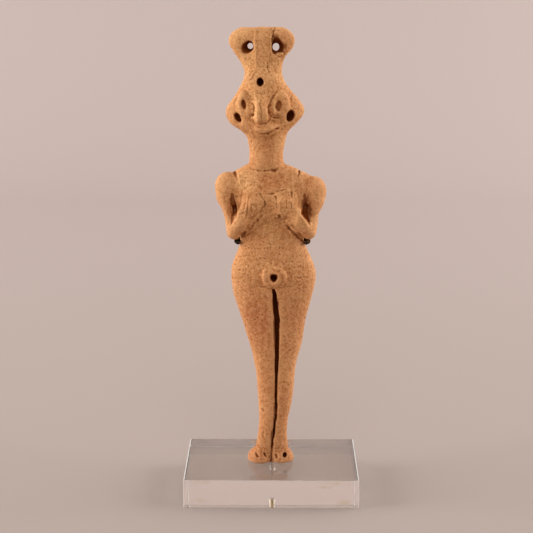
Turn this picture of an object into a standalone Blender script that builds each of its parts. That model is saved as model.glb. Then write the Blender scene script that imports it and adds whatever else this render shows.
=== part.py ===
"""A hand-modelled terracotta figurine of a standing goddess, on a clear block with a brass support.

Metres, +Z up. The figurine looks along -Y. The origin is the centre of the block's underside.
Places on the figurine are given in units, shares of its own height, measured from the middle of its
soles. Left and right are the viewer's.
"""

import math

import bmesh
import bpy
import numpy as np
from mathutils import Matrix, Vector

# The figurine
FIGURE_HEIGHT = 0.151
UNIT = FIGURE_HEIGHT / 164
FIGURE_FORWARD = 0.00125  # of the middle of its soles from the middle of the block
CLAY_GRAIN = 0.42 * UNIT  # spacing of the surface on which the clay is joined and smoothed
CLAY_SHARE = 0.047  # share of that surface's triangles kept in the finished solid

# The clear block
BLOCK_WIDTH = 0.060
BLOCK_DEPTH = 0.040
BLOCK_HEIGHT = 0.010
BLOCK_EDGE = 0.0004

# The brass support: a rod out of the block, with two prongs round the waist
ROD_DIAMETER = 0.0016
PRONG_DIAMETER = 0.0016
SOLDER_BEAD = (0.0026, 0.0018, 0.0020)
SEAT_GAP = 0.0003  # between pieces that touch
SOCKET_CLEARANCE = 0.0004  # round the rod in its socket
SOCKET_FLOOR = 0.0037  # of the block left below the socket
ELBOW_HEIGHT = 87.1 * UNIT  # underside of the elbows, which the prongs carry
PRONG_WRAP = math.radians(20)  # how far the prongs pass the waist's widest point
BEND_RUN = 4.5 * UNIT  # height over which the rod bends in to the waist
ROUND_SIDES = 12
PRONG_STEPS = 28
BEND_STEPS = 8
WIRE_END_RUN = 0.5  # how far a wire's rounded end reaches, as a share of its radius

# Trunk: height, centre, half width, front, back, squareness. The legs are one mass, parted by slots.
TRUNK = [
    (1.0, 0.0, 5.2, 3.2, 3.8, 2.2),
    (5.5, 0.2, 6.2, 3.3, 4.5, 2.2),
    (9.0, 0.3, 5.75, 3.3, 4.5, 2.3),
    (12.5, 0.5, 5.45, 3.6, 4.4, 2.4),
    (16.5, 0.85, 5.45, 3.8, 4.3, 2.4),
    (22.0, 1.3, 6.1, 4.1, 4.4, 2.4),
    (30.0, 1.55, 6.95, 4.5, 4.6, 2.4),
    (36.5, 1.55, 7.5, 4.9, 4.7, 2.4),
    (41.2, 1.55, 8.4, 5.1, 4.7, 2.4),
    (46.0, 1.5, 9.6, 5.4, 4.8, 2.35),
    (52.0, 1.15, 11.1, 5.7, 5.0, 2.3),
    (58.5, 0.75, 12.6, 6.0, 5.2, 2.3),
    (64.7, 0.55, 14.4, 6.4, 5.6, 2.2),
    (69.3, 0.7, 15.5, 6.7, 5.8, 2.2),
    (72.8, 0.8, 15.85, 6.8, 5.8, 2.2),
    (76.5, 0.55, 15.45, 6.6, 5.5, 2.2),
    (80.0, 0.4, 14.15, 6.2, 5.1, 2.2),
    (83.5, 0.35, 12.6, 5.8, 4.8, 2.2),
    (86.5, 0.2, 11.8, 5.5, 4.6, 2.2),
    (91.0, 0.0, 12.0, 5.4, 4.4, 2.2),
    (97.0, -0.1, 14.4, 5.4, 4.3, 2.2),
    (103.0, -0.2, 16.4, 5.4, 4.2, 2.2),
    (107.5, -0.5, 17.0, 5.0, 4.1, 2.1),
    (110.3, -0.9, 15.6, 4.6, 3.9, 2.0),
    (112.4, -1.2, 11.6, 4.3, 3.8, 2.0),
    (114.2, -1.5, 8.2, 4.2, 3.8, 2.0),
]
# Neck, the broad face with its ear lobes, and the waisted headdress above it
HEAD = [
    (107.0, -1.2, 4.6, 3.0, 2.6, 2.0),
    (112.0, -1.5, 6.6, 4.3, 4.2, 2.0),
    (116.0, -1.95, 6.3, 4.8, 5.0, 2.0),
    (119.0, -1.95, 6.2, 4.8, 5.3, 2.0),
    (122.5, -1.75, 6.7, 4.9, 5.4, 2.0),
    (125.0, -1.9, 7.2, 5.4, 5.3, 2.0),
    (126.6, -2.4, 8.3, 5.9, 5.0, 1.9),
    (128.6, -3.1, 11.1, 6.2, 4.7, 1.9),
    (130.7, -2.9, 13.15, 6.1, 4.5, 1.95),
    (133.2, -2.4, 14.35, 5.9, 4.4, 2.0),
    (135.8, -2.3, 13.9, 5.7, 4.3, 2.0),
    (138.5, -2.15, 12.0, 5.6, 4.2, 2.0),
    (141.5, -2.5, 9.7, 5.3, 4.1, 2.0),
    (144.3, -2.9, 7.75, 4.9, 4.0, 2.1),
    (147.7, -3.05, 6.75, 4.3, 3.9, 2.2),
    (150.5, -3.4, 7.25, 3.8, 3.8, 2.3),
    (153.2, -3.8, 8.6, 3.5, 3.7, 2.4),
    (155.8, -3.5, 10.6, 3.4, 3.7, 2.6),
    (158.5, -3.5, 11.95, 3.3, 3.6, 2.7),
    (160.9, -3.45, 11.5, 3.2, 3.4, 2.6),
    (162.6, -3.4, 10.1, 2.9, 3.1, 2.4),
    (163.9, -3.4, 7.6, 2.2, 2.4, 2.2),
]
RING_SIDES = 48
RING_STEP = 1.2  # height between the rings worked out from the sections

# Clay limbs: points of the centre line, then the half sizes across and through at each point
LIMBS = {
    "arm_left": [
        ((-15.2, -0.4, 107.9), 3.4, 3.3),
        ((-17.0, -0.7, 103.5), 3.6, 3.6),
        ((-15.8, -1.5, 98.5), 2.5, 3.2),
        ((-14.8, -2.6, 93.5), 2.2, 2.8),
        ((-14.2, -3.5, 90.6), 2.5, 2.6),
    ],
    "forearm_left": [
        ((-13.9, -3.9, 90.3), 2.7, 2.8),
        ((-11.9, -5.2, 93.2), 2.9, 2.8),
        ((-9.8, -6.2, 96.6), 2.8, 2.5),
        ((-8.0, -6.8, 100.4), 3.2, 2.2),
    ],
    "arm_right": [
        ((14.6, -0.4, 105.8), 3.8, 3.4),
        ((15.8, -0.8, 101.8), 4.0, 3.7),
        ((15.1, -1.5, 97.0), 2.3, 3.2),
        ((15.0, -2.6, 93.2), 1.9, 2.8),
        ((14.3, -3.5, 90.6), 2.4, 2.6),
    ],
    "forearm_right": [
        ((13.9, -3.9, 90.3), 2.7, 2.8),
        ((11.5, -5.2, 93.0), 2.9, 2.8),
        ((9.0, -6.2, 96.2), 2.8, 2.5),
        ((6.9, -6.8, 100.0), 3.2, 2.2),
    ],
    "nose": [
        ((-4.0, -4.4, 141.6), 2.7, 2.0),
        ((-3.9, -5.8, 138.0), 2.6, 2.3),
        ((-3.8, -7.1, 134.8), 2.8, 2.4),
        ((-3.8, -7.3, 132.9), 2.8, 2.1),
    ],
    "crest": [
        ((-3.8, -3.6, 146.0), 3.3, 1.6),
        ((-3.9, -2.9, 151.0), 2.9, 1.5),
        ((-3.7, -2.7, 157.0), 3.0, 1.5),
        ((-3.6, -2.4, 161.0), 3.0, 1.4),
        ((-3.6, -1.7, 162.3), 2.8, 1.2),
    ],
}
# Pressed-on lumps: centre, half sizes, lean to the side in degrees
PELLETS = {
    "shoulder_left": ((-15.9, -0.3, 105.8), (4.9, 3.9, 6.1), -8),
    "shoulder_right": ((14.9, -0.3, 103.9), (5.2, 3.9, 6.4), 12),
    "hand_left": ((-6.7, -6.9, 102.4), (4.5, 2.1, 5.4), 14),
    "hand_right": ((5.3, -6.9, 101.8), (4.7, 2.1, 5.4), -16),
    "elbow_left": ((-13.7, -3.6, 90.0), (2.9, 2.9, 2.9), 0),
    "elbow_right": ((13.7, -3.6, 90.0), (2.9, 2.9, 2.9), 0),
    "boss": ((-3.9, -4.7, 144.4), (4.2, 2.3, 4.0), 0),
    "eye_left": ((-9.6, -4.7, 137.1), (2.8, 1.8, 5.1), -6),
    "eye_right": ((2.9, -4.9, 136.8), (3.9, 1.8, 5.2), 4),
    "chin": ((-2.2, -5.0, 128.5), (4.8, 2.5, 2.9), 0),
    "navel_ring": ((0.8, -6.1, 74.0), (4.7, 1.9, 4.3), 0),
    "buttock_left": ((-5.6, 4.2, 70.5), (6.6, 2.6, 7.2), 8),
    "buttock_right": ((7.0, 4.2, 70.5), (6.6, 2.6, 7.2), -8),
    "foot_left": ((-4.3, 0.0, 0.8), (5.0, 5.1, 4.6), 0),
    "foot_right": ((4.0, 0.0, 0.5), (4.7, 5.1, 5.0), 0),
}
# Holes poked with a stick: mouth, end, half width and half height at the mouth, radius at the end
HOLES = {
    "headdress_left": ((-9.2, -4.4, 156.8), (-7.5, 4.6, 157.0), 2.7, 2.6, 1.3),
    "headdress_right": ((2.5, -4.4, 156.8), (1.3, 4.6, 156.6), 2.6, 2.6, 1.35),
    "forehead": ((-4.1, -8.0, 144.8), (-4.0, -1.6, 144.5), 1.6, 1.95, 1.2),
    "ear_left": ((-13.0, -5.6, 131.3), (-9.2, 1.8, 133.2), 1.9, 2.5, 1.0),
    "ear_right": ((7.4, -5.6, 132.0), (4.5, 1.8, 134.0), 2.1, 2.6, 1.1),
    "navel": ((0.8, -9.2, 73.8), (0.8, -3.4, 73.2), 1.7, 2.0, 1.1),
    "pupil_left": ((-10.1, -7.8, 136.9), (-9.85, -4.4, 136.7), 1.2, 2.5, 0.8),
    "pupil_right": ((2.65, -8.0, 136.3), (2.75, -4.6, 136.1), 1.5, 2.7, 0.9),
    "toe": ((5.0, -6.2, 3.9), (4.8, -2.4, 3.3), 0.9, 0.9, 0.6),
}
# Slots: points of the centre line, half width and depth at each
LEG_SLOT_FRONT = [
    ((0.4, 69.7), 0.6, 2.4),
    ((1.3, 65.5), 1.0, 5.6),
    ((1.9, 58.5), 1.25, 6.2),
    ((1.9, 49.8), 0.95, 5.4),
    ((1.9, 41.8), 0.75, 4.6),
    ((1.75, 25.6), 0.6, 3.6),
    ((1.4, 17.5), 0.55, 3.2),
    ((0.5, 11.4), 0.55, 3.2),
    ((0.2, 7.4), 0.55, 3.0),
    ((-0.2, 1.0), 0.5, 3.0),
]
LEG_SLOT_BACK = [
    ((0.9, 77.0), 0.8, 0.3),
    ((0.8, 70.0), 1.0, 1.3),
    ((1.2, 62.0), 0.9, 1.5),
    ((1.5, 40.0), 0.8, 1.4),
    ((1.3, 20.0), 0.7, 1.3),
    ((0.4, 6.0), 0.7, 1.3),
    ((0.0, 0.8), 0.6, 1.0),
]
# Deep folds between each upper arm and the forearm in front of it
ARM_FOLDS = [
    [
        ((-14.2, 105.0), 0.4, 1.6),
        ((-13.8, 101.5), 1.0, 3.6),
        ((-13.5, 98.0), 1.2, 5.0),
        ((-14.6, 93.2), 0.4, 2.0),
    ],
    [
        ((12.1, 104.8), 0.6, 1.6),
        ((12.2, 101.5), 1.3, 3.8),
        ((12.6, 98.0), 1.6, 5.2),
        ((13.7, 94.0), 0.5, 2.0),
    ],
]
SLOT_CLEAR = 4.0  # how far the slots' cutters stand clear of the clay

SHARP_EDGE = math.radians(40)  # edges turned by more than this are not shaded round


def clear_scene():
    for obj in list(bpy.data.objects):
        bpy.data.objects.remove(obj)


def material(name, colour, roughness, metallic=0.0, transmission=0.0):
    made = bpy.data.materials.new(name)
    made.use_nodes = True
    shader = made.node_tree.nodes["Principled BSDF"]
    shader.inputs["Base Color"].default_value = (*colour, 1.0)
    shader.inputs["Roughness"].default_value = roughness
    shader.inputs["Metallic"].default_value = metallic
    shader.inputs["Transmission Weight"].default_value = transmission
    return made


def add_object(name, mesh_data, surface=None):
    obj = bpy.data.objects.new(name, mesh_data)
    bpy.context.scene.collection.objects.link(obj)
    if surface:
        mesh_data.materials.append(surface)
    return obj


def finish_mesh(name, bm):
    bmesh.ops.recalc_face_normals(bm, faces=bm.faces)
    data = bpy.data.meshes.new(name)
    bm.to_mesh(data)
    bm.free()
    data.shade_smooth()
    data.set_sharp_from_angle(angle=SHARP_EDGE)
    return data


def smooth_rows(rows, positions):
    """Rows of numbers keyed by their first value, read off a smooth curve at the given positions."""
    rows = np.array(rows, float)
    keys, values = rows[:, 0], rows[:, 1:]
    slopes = np.gradient(values, keys, axis=0)
    index = np.clip(np.searchsorted(keys, positions) - 1, 0, len(keys) - 2)
    span = (keys[index + 1] - keys[index])[:, None]
    t = (positions[:, None] - keys[index][:, None]) / span
    near = (1 + 2 * t) * (1 - t) ** 2 * values[index] + t * (1 - t) ** 2 * span * slopes[index]
    far = t * t * (3 - 2 * t) * values[index + 1] + t * t * (t - 1) * span * slopes[index + 1]
    return near + far


def skin(bm, rings):
    """Closes a row of rings into one tube with a cap at each end."""
    for low, high in zip(rings, rings[1:]):
        for i in range(len(low)):
            j = (i + 1) % len(low)
            bm.faces.new((low[i], low[j], high[j], high[i]))
    bm.faces.new(rings[0][::-1])
    bm.faces.new(rings[-1])


def signed_power(value, power):
    return math.copysign(abs(value) ** power, value)


def add_trunk(bm, sections):
    """A mass through sections of height, centre, half width, front, back and squareness."""
    low, high = sections[0][0], sections[-1][0]
    heights = np.linspace(low, high, round((high - low) / RING_STEP) + 1)
    rings = []
    for height, row in zip(heights, smooth_rows(sections, heights)):
        centre, half, front, back, square = row
        ring = []
        for i in range(RING_SIDES):
            turn = math.tau * i / RING_SIDES
            across = signed_power(math.cos(turn), 2 / square) * half
            through = signed_power(math.sin(turn), 2 / square)
            through *= back if through > 0 else front
            ring.append(bm.verts.new(Vector((centre + across, through, height)) * UNIT))
        rings.append(ring)
    skin(bm, rings)


def add_limb(bm, points, sides=20, steps=5):
    """A rolled limb: an oval swept along a smooth line, with a rounded end at each end."""
    centres = np.array([p[0] for p in points], float)
    keys = np.arange(len(points), dtype=float)
    rows = np.column_stack([keys, centres, [p[1] for p in points], [p[2] for p in points]])
    along = np.linspace(0, keys[-1], steps * (len(points) - 1) + 1)
    smooth = smooth_rows(rows, along)
    rings = []
    count = len(smooth)
    for i, (x, y, z, across, through) in enumerate(smooth):
        ahead = Vector(smooth[min(i + 1, count - 1)][:3]) - Vector(smooth[max(i - 1, 0)][:3])
        ahead.normalize()
        side = ahead.cross(Vector((0, -1, 0))).normalized()
        front = side.cross(ahead)
        ends = []
        if i == 0:
            ends = [(-0.85 * across, 0.45), (-0.5 * across, 0.85)]
        rows_here = ends + [(0.0, 1.0)]
        if i == count - 1:
            rows_here += [(0.5 * across, 0.85), (0.85 * across, 0.45)]
        for shift, share in rows_here:
            centre = Vector((x, y, z)) + ahead * shift
            ring = []
            for k in range(sides):
                turn = math.tau * k / sides
                offset = side * math.cos(turn) * across + front * math.sin(turn) * through
                ring.append(bm.verts.new((centre + offset * share) * UNIT))
            rings.append(ring)
    skin(bm, rings)


def add_pellet(bm, centre, half_sizes, lean):
    place = Matrix.Translation(Vector(centre) * UNIT)
    turn = Matrix.Rotation(math.radians(lean), 4, "Y")
    size = Matrix.Diagonal((*(Vector(half_sizes) * UNIT), 1.0))
    bmesh.ops.create_uvsphere(bm, u_segments=28, v_segments=18, radius=1.0, matrix=place @ turn @ size)


def add_poked_hole(bm, mouth, end, half_width, half_height, end_radius, sides=16):
    """A tapered oval pin, wider at the mouth, that is cut out of the clay."""
    rings = []
    mouth, end = Vector(mouth), Vector(end)
    for share in (0.0, 0.5, 0.9, 1.0):
        centre = mouth.lerp(end, share)
        wide = half_width + (end_radius - half_width) * min(share / 0.9, 1.0)
        tall = half_height + (end_radius - half_height) * min(share / 0.9, 1.0)
        closing = 0.6 if share == 1.0 else 1.0
        ring = []
        for k in range(sides):
            turn = math.tau * k / sides
            offset = Vector((wide * math.cos(turn), 0, tall * math.sin(turn))) * closing
            ring.append(bm.verts.new((centre + offset) * UNIT))
        rings.append(ring)
    skin(bm, rings)


def trunk_depth(height, facing):
    """Where the trunk's surface lies on its front (facing -1) or its back (facing 1)."""
    row = smooth_rows(TRUNK, np.array([height]))[0]
    return row[3] if facing > 0 else -row[2]


def add_slot(bm, points, facing):
    """A tapering blade along points of (x, z), half width and depth, cut out of the trunk."""
    rings = []
    for (x, z), half, depth in points:
        face = trunk_depth(z, facing)
        outer = face + facing * SLOT_CLEAR
        middle = face - facing * depth * 0.6
        inner = face - facing * depth
        corners = [(-half * 1.25, outer), (half * 1.25, outer), (half, middle)]
        corners += [(half * 0.45, inner), (-half * 0.45, inner), (-half, middle)]
        rings.append([bm.verts.new(Vector((x + dx, y, z)) * UNIT) for dx, y in corners])
    skin(bm, rings)


def cutter(name, bm):
    obj = add_object(name, finish_mesh(name, bm))
    obj.hide_render = True
    obj.display_type = "WIRE"
    return obj


def cut(obj, tool):
    step = obj.modifiers.new("cut_" + tool.name, "BOOLEAN")
    step.operation = "DIFFERENCE"
    step.solver = "EXACT"
    step.object = tool


def remesh(obj, name, size):
    step = obj.modifiers.new(name, "REMESH")
    step.mode = "VOXEL"
    step.voxel_size = size
    step.use_smooth_shade = True


def relax(obj, name, factor, repeats):
    step = obj.modifiers.new(name, "SMOOTH")
    step.factor = factor
    step.iterations = repeats


def stand_on_block(obj):
    obj.location = (0, -FIGURE_FORWARD, BLOCK_HEIGHT + SEAT_GAP)


def figurine(clay):
    bm = bmesh.new()
    add_trunk(bm, TRUNK)
    add_trunk(bm, HEAD)
    for limb in LIMBS.values():
        add_limb(bm, limb)
    for centre, half_sizes, lean in PELLETS.values():
        add_pellet(bm, centre, half_sizes, lean)
    body = add_object("figurine", finish_mesh("figurine", bm), clay)

    bm = bmesh.new()
    for hole in HOLES.values():
        add_poked_hole(bm, *hole)
    pokes = cutter("poked_holes", bm)
    bm = bmesh.new()
    add_slot(bm, LEG_SLOT_FRONT, -1)
    add_slot(bm, LEG_SLOT_BACK, 1)
    for fold in ARM_FOLDS:
        add_slot(bm, fold, -1)
    slots = cutter("slots", bm)
    bm = bmesh.new()
    below = Matrix.Translation((0, 0, -10 * UNIT)) @ Matrix.Diagonal((60 * UNIT, 60 * UNIT, 20 * UNIT, 1))
    bmesh.ops.create_cube(bm, size=1.0, matrix=below)
    ground = cutter("ground_cut", bm)

    remesh(body, "join_clay", CLAY_GRAIN)
    relax(body, "soften_joins", 0.5, 5)
    for tool in (pokes, slots):
        cut(body, tool)
    remesh(body, "rework_clay", CLAY_GRAIN)
    relax(body, "soften_cuts", 0.5, 2)
    thin = body.modifiers.new("fewer_faces", "DECIMATE")
    thin.ratio = CLAY_SHARE
    cut(body, ground)
    for obj in (body, pokes, slots, ground):
        stand_on_block(obj)
    return body


def add_wire(bm, path, radius):
    """A round wire along a path of points, with rounded ends."""
    rings = []
    last = len(path) - 1
    for i, point in enumerate(path):
        ahead = (path[min(i + 1, last)] - path[max(i - 1, 0)]).normalized()
        reference = Vector((0, 0, 1)) if abs(ahead.z) < 0.6 else Vector((1, 0, 0))
        side = ahead.cross(reference).normalized()
        other = ahead.cross(side)
        stations = [(0.0, 1.0)]
        if i == 0:
            stations = [(-WIRE_END_RUN, 0.4), (-0.7 * WIRE_END_RUN, 0.8)] + stations
        if i == last:
            stations += [(0.7 * WIRE_END_RUN, 0.8), (WIRE_END_RUN, 0.4)]
        for shift, share in stations:
            ring = []
            for k in range(ROUND_SIDES):
                turn = math.tau * k / ROUND_SIDES
                offset = (side * math.cos(turn) + other * math.sin(turn)) * share + ahead * shift
                ring.append(bm.verts.new(point + offset * radius))
            rings.append(ring)
    skin(bm, rings)


def waist_path(height, clear):
    """The trunk's section at a height, from side to side round the back, widened by a clearance."""
    centre, half, front, back, square = smooth_rows(TRUNK, np.array([height / UNIT]))[0]
    path = []
    for turn in np.linspace(-PRONG_WRAP, math.pi + PRONG_WRAP, PRONG_STEPS + 1):
        deep = back if math.sin(turn) > 0 else front
        x = signed_power(math.cos(turn), 2 / square)
        y = signed_power(math.sin(turn), 2 / square)
        away = Vector((signed_power(x, square - 1) / half, signed_power(y, square - 1) / deep, 0))
        point = Vector((centre + x * half, y * deep, 0)) * UNIT
        path.append(point + away.normalized() * clear)
    return path


def prong_height():
    """Height of the prongs' centre line, a gap below the elbows, which stand a gap above the block."""
    return BLOCK_HEIGHT + ELBOW_HEIGHT - PRONG_DIAMETER / 2


def rod_place():
    """How far back on the block the rod stands, just clear of the figurine's deepest point."""
    deepest = max([row[4] for row in TRUNK] + [place[1] + size[1] for place, size, _ in PELLETS.values()])
    return deepest * UNIT - FIGURE_FORWARD + SEAT_GAP + ROD_DIAMETER / 2


def mount_rod(brass):
    clear = SEAT_GAP + max(ROD_DIAMETER, PRONG_DIAMETER) / 2
    lowest = ELBOW_HEIGHT - SEAT_GAP - PRONG_DIAMETER
    place = Vector((0, -FIGURE_FORWARD, prong_height()))
    round_waist = [point + place for point in waist_path(lowest, clear)]
    joint = round_waist[PRONG_STEPS // 2]
    path = [Vector((joint.x, rod_place(), SOCKET_FLOOR + SEAT_GAP + ROD_DIAMETER / 2 * WIRE_END_RUN))]
    for i in range(BEND_STEPS + 1):
        share = i / BEND_STEPS
        inward = share * share * (3 - 2 * share)
        y = rod_place() + (joint.y - rod_place()) * inward
        path.append(Vector((joint.x, y, prong_height() - BEND_RUN * (1 - share))))
    bm = bmesh.new()
    add_wire(bm, path, ROD_DIAMETER / 2)
    rod = add_object("mount_rod", finish_mesh("mount_rod", bm), brass)

    bm = bmesh.new()
    add_wire(bm, round_waist, PRONG_DIAMETER / 2)
    prongs = cutter("prongs", bm)
    bm = bmesh.new()
    solder = Matrix.Translation(joint) @ Matrix.Diagonal((*SOLDER_BEAD, 1))
    bmesh.ops.create_icosphere(bm, subdivisions=2, radius=0.5, matrix=solder)
    bead = cutter("solder_bead", bm)
    for added in (prongs, bead):
        step = rod.modifiers.new("add_" + added.name, "BOOLEAN")
        step.operation = "UNION"
        step.solver = "EXACT"
        step.object = added
    return joint.x


def acrylic_base(acrylic, rod_x):
    bm = bmesh.new()
    size = Matrix.Diagonal((BLOCK_WIDTH, BLOCK_DEPTH, BLOCK_HEIGHT, 1))
    middle = Matrix.Translation((0, 0, BLOCK_HEIGHT / 2))
    bmesh.ops.create_cube(bm, size=1.0, matrix=middle @ size)
    block = add_object("acrylic_base", finish_mesh("acrylic_base", bm), acrylic)
    edge = block.modifiers.new("polished_edges", "BEVEL")
    edge.width = BLOCK_EDGE
    edge.segments = 2

    bm = bmesh.new()
    depth = BLOCK_HEIGHT - SOCKET_FLOOR
    place = Matrix.Translation((rod_x, rod_place(), SOCKET_FLOOR + depth))
    radius = ROD_DIAMETER / 2 + SOCKET_CLEARANCE
    bmesh.ops.create_cone(bm, cap_ends=True, segments=2 * ROUND_SIDES, radius1=radius, radius2=radius,
                          depth=2 * depth, matrix=place)
    cut(block, cutter("socket", bm))


def main():
    clear_scene()
    clay = material("terracotta", (0.55, 0.30, 0.15), 0.9)
    brass = material("patinated_brass", (0.10, 0.06, 0.035), 0.4, metallic=1.0)
    acrylic = material("clear_acrylic", (0.95, 0.97, 0.97), 0.03, transmission=1.0)
    figurine(clay)
    rod_x = mount_rod(brass)
    acrylic_base(acrylic, rod_x)


main()
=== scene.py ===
"""The looks of a terracotta goddess figurine on its clear block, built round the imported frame.

Metres, +Z up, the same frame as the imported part. The marks in the clay are placed by the pixel of the
photograph (533 x 533) at which they show, and go into the surface that the camera meets there.
"""

import math

import bmesh
import bpy
import numpy as np
from mathutils import Euler, Matrix, Vector, noise
from mathutils.bvhtree import BVHTree
from mathutils.kdtree import KDTree


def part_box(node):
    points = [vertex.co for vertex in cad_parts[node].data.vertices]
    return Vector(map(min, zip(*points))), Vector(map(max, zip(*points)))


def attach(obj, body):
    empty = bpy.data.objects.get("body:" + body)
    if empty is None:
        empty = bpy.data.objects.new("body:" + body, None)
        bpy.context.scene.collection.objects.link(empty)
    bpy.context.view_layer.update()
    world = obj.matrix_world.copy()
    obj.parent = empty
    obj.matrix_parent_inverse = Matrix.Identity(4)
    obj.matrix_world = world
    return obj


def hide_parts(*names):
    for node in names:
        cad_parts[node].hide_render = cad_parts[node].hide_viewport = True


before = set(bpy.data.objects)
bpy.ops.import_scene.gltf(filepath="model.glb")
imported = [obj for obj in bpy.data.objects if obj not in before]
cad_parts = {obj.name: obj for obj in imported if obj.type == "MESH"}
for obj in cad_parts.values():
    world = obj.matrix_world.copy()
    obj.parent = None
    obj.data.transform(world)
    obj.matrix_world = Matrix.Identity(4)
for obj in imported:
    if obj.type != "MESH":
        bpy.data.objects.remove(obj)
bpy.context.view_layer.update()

MM = 0.001

# The photograph's camera
PHOTO_SIZE = 533
FOCAL_PIXELS = 1375.4
CAMERA_PLACE = Vector((2.03, -458.72, 189.15)) * MM
CAMERA_DOWN = math.radians(13.371)
CAMERA_LEFT = math.radians(0.471)
SENSOR = 36.0

# The clay's surface
JOIN_GRAIN = 0.34 * MM  # spacing of the surface that the solid's facets are smoothed on
FINE_GRAIN = 0.215 * MM  # spacing of the surface that is carved
FINE_TRIANGLES = 190000
JOIN_SMOOTHING = 12
FINE_SMOOTHING = 1
SKIN_ROOM = 0.25 * MM  # how far the fine surface may pass the solid's box
# Lumps all over the clay: size, height, seed
CLAY_LUMPS = [
    (7.0 * MM, 0.16 * MM, 1), (3.0 * MM, 0.09 * MM, 2), (1.3 * MM, 0.07 * MM, 3), (0.6 * MM, 0.035 * MM, 4),
]
STROKE_SIZE = 1.6 * MM  # of the marks that smoothing fingers left down the clay
STROKE_STRETCH = 6.0  # how much longer than wide they are
STROKE_HEIGHT = 0.06 * MM
COARSE_LUMPS = [(0.75 * MM, 0.13 * MM, 13), (0.42 * MM, 0.08 * MM, 14)]  # in the coarse patches only
PIT_COUNT = 1400
PIT_HALF = (0.15 * MM, 0.34 * MM)
PIT_DEPTH = (0.25, 0.6)  # against its half width
DOT_DEPTH = 0.21 * MM
DOT_HALF = (0.65, 0.95)  # in pixels, as the next one
DOT_SCATTER = 0.4
DOTS_LEFT = 0.8  # share of the dots that can still be seen
GROOVE_WEAR = 1.3 * MM  # spacing of the worn stretches along the grooves
WEAR_MEAN = 0.85  # share of a groove's depth that wear leaves, and how much that varies
WEAR_SPREAD = 1.3
WEAR_RANGE = (0.12, 1.25)
WEAR_MOST = 0.26 * MM  # how much of a groove's depth wear takes at most
GROOVE_REACH = 2.2  # how far a groove reaches to its sides, in half widths
WOBBLE_SIZE = 0.9 * MM  # of the bends that keep the grooves from running smoothly
WOBBLE = 0.8  # how far those bends go, in pixels
HOLE_SHADE_DEPTH = 1.5 * MM  # inside an opening, where its painted shade is darkest
OPENING_EDGE = 0.4  # how far past a hole's outline, in pixels, its inside still counts
OPENING_END = 0.3 * MM  # and how far past its end
SHADE_SPOTS = 0.7 * MM  # of the lumps that break up the painted shade's patches
# Hollows, where painted shade darkens the clay: over how many edges they are measured, how deep a full one
# is, its painted shade and the most painted shade
NEAR_HOLLOW = (4, 0.035 * MM, 0.35, 0.35)
WIDE_HOLLOW = (30, 0.25 * MM, 0.15, 0.12)
GROOVE_SHADE = (0.12 * MM, 0.5 * MM, 0.8)  # painted shade in the grooves: the depth it starts at, how much deeper it is full, the most
WORN = 0.8  # of a bump that stands as high as a full near hollow is deep
SEED = 7
# How squarely the clay faces the camera where marks begin, and where they are full
GROOVE_FACING = (0.05, 0.3)
PATCH_FACING = (-0.1, 0.4)
SOFT_FACING = (0.0, 0.2)
# Where in an oval its effect begins, and where it is full, with 1 at the outline
PATCH_EDGE = (1.35, 0.4)
FLAT_EDGE = (1.3, 0.7)
SOFT_EDGE = (1.25, 0.75)

# The solid's holes and slots are filled between these depths before they are cut again, in mm
FILL_FRONT = 0.45
FILL_BACK = 5.6
HOLE_FILL = 1.3  # how much wider than a hole its filling is
SLOT_FILL = 2.0  # and than a slot, in pixels to each side
HOLE_FRONT = -4.0  # depths at which the tools that cut them start, in mm
SLOT_FRONT = -3.0
ROUND_MOUTH = 1.3  # how far out, against a hole's outline, the surface round it is met
PIXEL = 0.343 * MM  # of the photograph, on the figurine
SLOT_SIDE = 1.0  # how far beside a slot, in pixels, the surface that it's cut from is met
FILL_SUNK = 0.8 * MM  # how far below the surface the middle of a valley's filling is
# Lumps that fill the solid's valleys: column, row, half width and height, how far they rise in mm
FILLED_VALLEYS = [
    (252.4, 96.5, 5, 9, 0.65), (266.4, 98.5, 4.5, 9, 0.65), (260.4, 93, 9, 5, 0.35),
    (250, 80, 6, 9, 0.35), (271, 81, 7, 10, 0.45), (248.8, 110.5, 4, 7, 0.7), (273.4, 108, 4, 9, 0.9),
    (250, 187, 11, 6, 0.7), (283, 186, 11, 6, 0.7), (269.5, 199, 5, 12, 1.3), (269.5, 209, 7, 12, 1),
    (258, 215, 6, 6, 1.2), (252, 221.5, 6, 5.5, 1.3), (246, 228.5, 5, 5, 1.2), (281, 214, 5.5, 5.5, 1.1),
    (288, 220.5, 6, 5.5, 1.3), (294.5, 228, 5.5, 5.5, 1.2),
]
# Places where what stands out further than a depth (its -Y in mm) is pressed flatter: column, row,
# half width and height, the depth, how much of the relief goes
FLATTENED = [
    (251, 202, 15, 20, 6.4, 0.42), (286, 202, 15, 20, 6.4, 0.42), (251, 187, 15, 9, 5.7, 0.85),
    (286, 188, 15, 9, 5.9, 0.60), (244.5, 193, 4.2, 6, 5.6, 0.85), (241.5, 200.5, 3.2, 7, 5.3, 0.85),
    (296.4, 197, 3.4, 6, 5.6, 0.8), (299.4, 204.5, 2.6, 5, 5.5, 0.8),
]
# Places where joins are smoothed away: column, row, half width and half height, repeats
SOFTENED = [
    (261.5, 82, 16, 15, 60), (252.4, 96, 5, 10, 40), (266, 97, 4, 9, 40), (253, 108, 4, 11, 25),
    (271, 108, 4, 11, 25), (252, 188, 17, 12, 420), (284, 188, 16, 11, 380), (244, 197, 5, 10, 60),
    (297, 199, 4, 9, 50), (269, 203, 9, 15, 160), (233, 208, 5, 15, 40), (309, 208, 6, 15, 60),
    (256, 219, 9, 8, 60), (287, 219, 9, 8, 60), (270, 178, 26, 12, 60), (256, 455, 8, 9, 40),
    (284, 455, 8, 9, 40), (274, 268, 16, 5, 40),
]

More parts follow.
